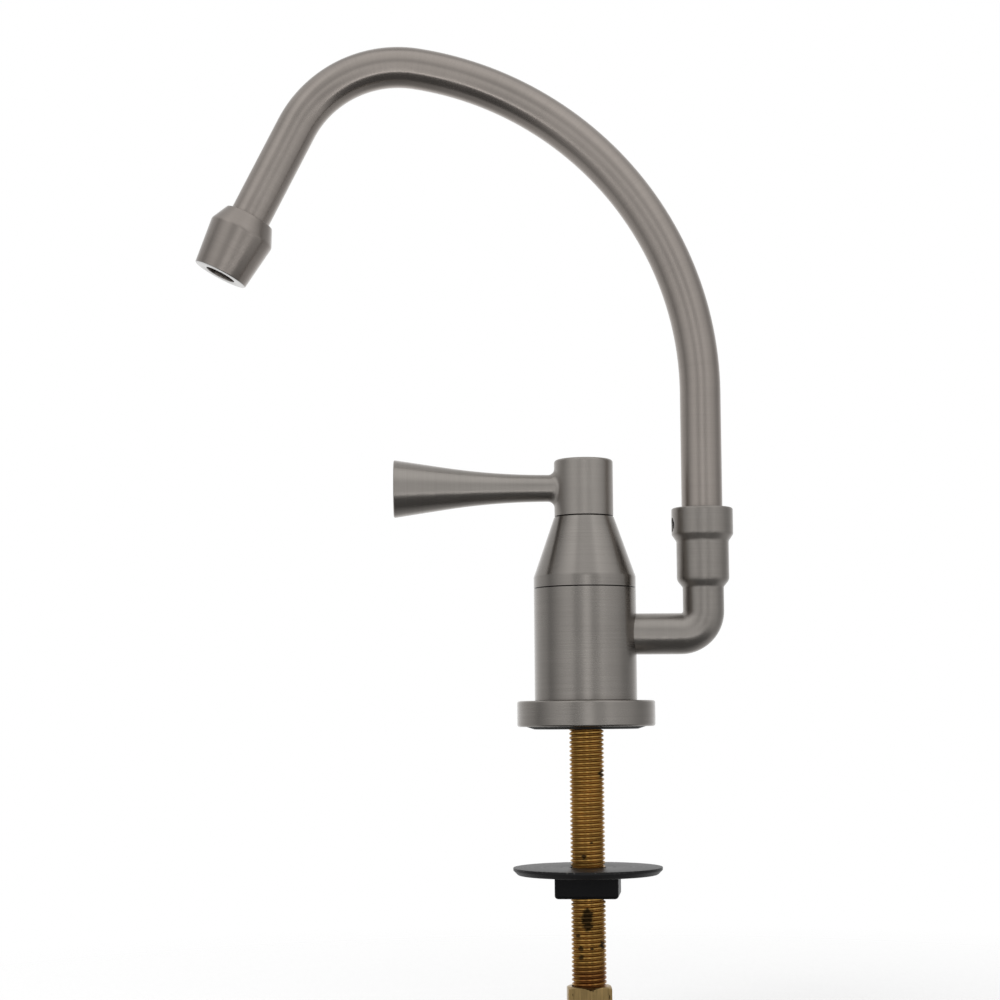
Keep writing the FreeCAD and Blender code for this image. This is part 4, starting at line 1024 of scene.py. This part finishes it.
def add_adapter():
    """The hexagon with turned chamfers, and its threaded stub below."""
    lowest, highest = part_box("inlet_adapter")
    flat = highest.x
    corner = highest.y
    top = highest.z
    bottom = top - HEX_HEIGHT
    sector = math.tau / 6

    def chamfered(height):
        """Radius round the hexagon at a height; a corner points along Y."""
        to_end = min(height - bottom, top - height)
        chamfer = flat - HEX_CHAMFER_INSET + to_end / math.tan(HEX_SLOPE)

        def radius(index):
            angle = math.tau * index / HEX_SEGMENTS
            from_flat = (angle + sector / 2) % sector - sector / 2
            return min(flat / math.cos(from_flat), corner, chamfer)

        return radius

    slant = (corner - flat + HEX_CHAMFER_INSET) * math.tan(HEX_SLOPE)
    rises = [slant * step / HEX_CHAMFER_STEPS for step in range(HEX_CHAMFER_STEPS + 1)]
    heights = [bottom + rise for rise in rises] + [top - rise for rise in reversed(rises)]
    outline = [(chamfered(height), height) for height in heights]
    shelf = top - HEX_SOCKET_DEPTH
    outline += [(HEX_SOCKET, top), (HEX_SOCKET, shelf), (STUB_BORE, shelf), (STUB_BORE, bottom)]
    mesh = turned_mesh(outline, HEX_SEGMENTS)
    hex_brass = worn_brass("hex_brass", OLIVE_BRASS, scratches=1.0)
    add_piece("inlet_hexagon", mesh, "base", hex_brass, "inlet_adapter")
    stub = bmesh.new()
    thread(stub, STUB_RADIUS, STUB_DEPTH, STUB_PITCH, lowest.z, bottom, STUB_BORE)
    stub_brass = worn_brass("stub_brass", OLIVE_BRASS, scratches=0.5)
    add_piece("inlet_stub", stub, "base", stub_brass, "inlet_adapter")


WASHER_SEGMENTS = 128
WASHER_BEVEL = 1.6 * MM
WASHER_FLOAT = 0.3 * MM
WASHER_HOLE_EDGE = 0.2 * MM
WASHER_LOWER_ROUNDING = 0.9 * MM
WASHER_RIM_ROUNDING = 0.25 * MM
WASHER_UPPER_EDGE = 0.1 * MM


def add_washer():
    """A moulded washer with a soft bevel under its rim."""
    lowest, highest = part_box("mounting_washer")
    radius = highest.x
    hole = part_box("threaded_shank")[1].x + WASHER_FLOAT
    outline = rounded_outline([
        (hole, lowest.z, WASHER_HOLE_EDGE),
        (radius - WASHER_BEVEL, lowest.z, WASHER_LOWER_ROUNDING),
        (radius, lowest.z + WASHER_BEVEL, WASHER_RIM_ROUNDING),
        (radius, highest.z, WASHER_UPPER_EDGE),
        (hole, highest.z, WASHER_HOLE_EDGE),
    ])
    mesh = turned_mesh(outline, WASHER_SEGMENTS)
    plastic = washer_plastic(radius, highest.z)
    add_piece("clamp_washer_disc", mesh, "clamp_washer", plastic, "mounting_washer",
              crease=50.0)


GASKET_SEGMENTS = 96
GASKET_WIDTH = 5.0 * MM
GASKET_LIP = 2.6 * MM
GASKET_LIP_ROUNDING = 1.2 * MM
GASKET_EDGE = 0.1 * MM


def add_gasket(rubber):
    """The flange's ring seal, with a lip that thins out towards its rim."""
    lowest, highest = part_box("base_gasket")
    radius = highest.x
    bore = radius - GASKET_WIDTH
    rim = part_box("base_flange")[0].z - GASKET_EDGE
    outline = rounded_outline([
        (bore, lowest.z, GASKET_EDGE),
        (radius - GASKET_LIP, lowest.z, GASKET_LIP_ROUNDING),
        (radius, rim, GASKET_EDGE / 2),
        (radius, highest.z, GASKET_EDGE),
        (bore, highest.z, GASKET_EDGE),
    ])
    mesh = turned_mesh(outline, GASKET_SEGMENTS)
    add_piece("flange_seal", mesh, "base", rubber, "base_gasket", crease=50.0)


# Finishes of the nodes that keep their own shape

def give_finish(material, *names):
    for name in names:
        mesh = nodes[name].data
        mesh.materials.clear()
        mesh.materials.append(material)


def finish_nodes(spout_x):
    """Finishes of the nodes, and the gasket, which shares its rubber with other seals."""
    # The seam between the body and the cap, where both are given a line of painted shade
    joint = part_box("valve_body")[1].z
    give_finish(turned_nickel("flange_nickel", marks=0.4, roughness=0.28), "base_flange")
    give_finish(turned_nickel("body_nickel", marks=0.4, roughness=0.26, joint=joint), "valve_body")
    give_finish(turned_nickel("cap_nickel", marks=0.35, roughness=0.25, joint=joint), "bonnet_cap")
    give_finish(lever_nickel(), "lever_handle")
    give_finish(elbow_nickel(spout_x), "outlet_elbow")
    matt = {"Specular IOR Level": MATT_SPECULAR}
    plastic = moulded("black_plastic", BLACK_PLASTIC, roughness=0.42, grain_scale=1500.0,
                      grain_depth=0.03 * MM, **matt)
    give_finish(plastic, "mounting_nut", "handle_glide_ring")
    rubber = moulded("black_rubber", BLACK_RUBBER, roughness=0.62, grain_scale=1100.0,
                     grain_depth=0.04 * MM, **matt)
    add_gasket(rubber)
    give_finish(rubber, "elbow_gasket", "nozzle_gasket", "cartridge_seat_seal",
                "cartridge_oring", "stem_orings", "spout_orings")
    steel = moulded("steel", STEEL, roughness=0.34, grain_scale=1800.0, grain_depth=0.01 * MM, Metallic=1.0)
    give_finish(steel, "handle_set_screw", "spout_set_screw", "stem_circlip")
    nylon = moulded("white_nylon", WHITE_NYLON, roughness=0.45, grain_scale=1300.0,
                    grain_depth=0.02 * MM, variation=0.05)
    give_finish(nylon, "spout_thrust_washer", "flow_straightener")
    ceramic = moulded("ceramic", CERAMIC, roughness=0.18, grain_scale=900.0,
                      grain_depth=0.005 * MM, variation=0.04)
    give_finish(ceramic, "fixed_disc", "moving_disc")
    fibre = moulded("fibre", FIBRE, roughness=0.75, grain_scale=1600.0,
                    grain_depth=0.05 * MM, variation=0.2)
    give_finish(fibre, "shank_gasket", "adapter_washer")
    give_finish(worn_brass("cartridge_brass", BRASS, scratches=0.3), "cartridge_housing", "bonnet_nut",
                "cartridge_stem", "spout_end_fitting")


def add_object():
    tube_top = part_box("spout_tube")[1]
    tube_radius = tube_top.y
    spout_x = tube_top.x - tube_radius
    finish_nodes(spout_x)
    add_tube(spout_x, tube_radius)
    add_nozzle()
    add_shank()
    add_adapter()
    add_washer()


bpy.context.scene.view_settings.view_transform = "Standard"
add_camera()
add_world()
add_key_lamp()
add_floor()
add_ground()
add_object()
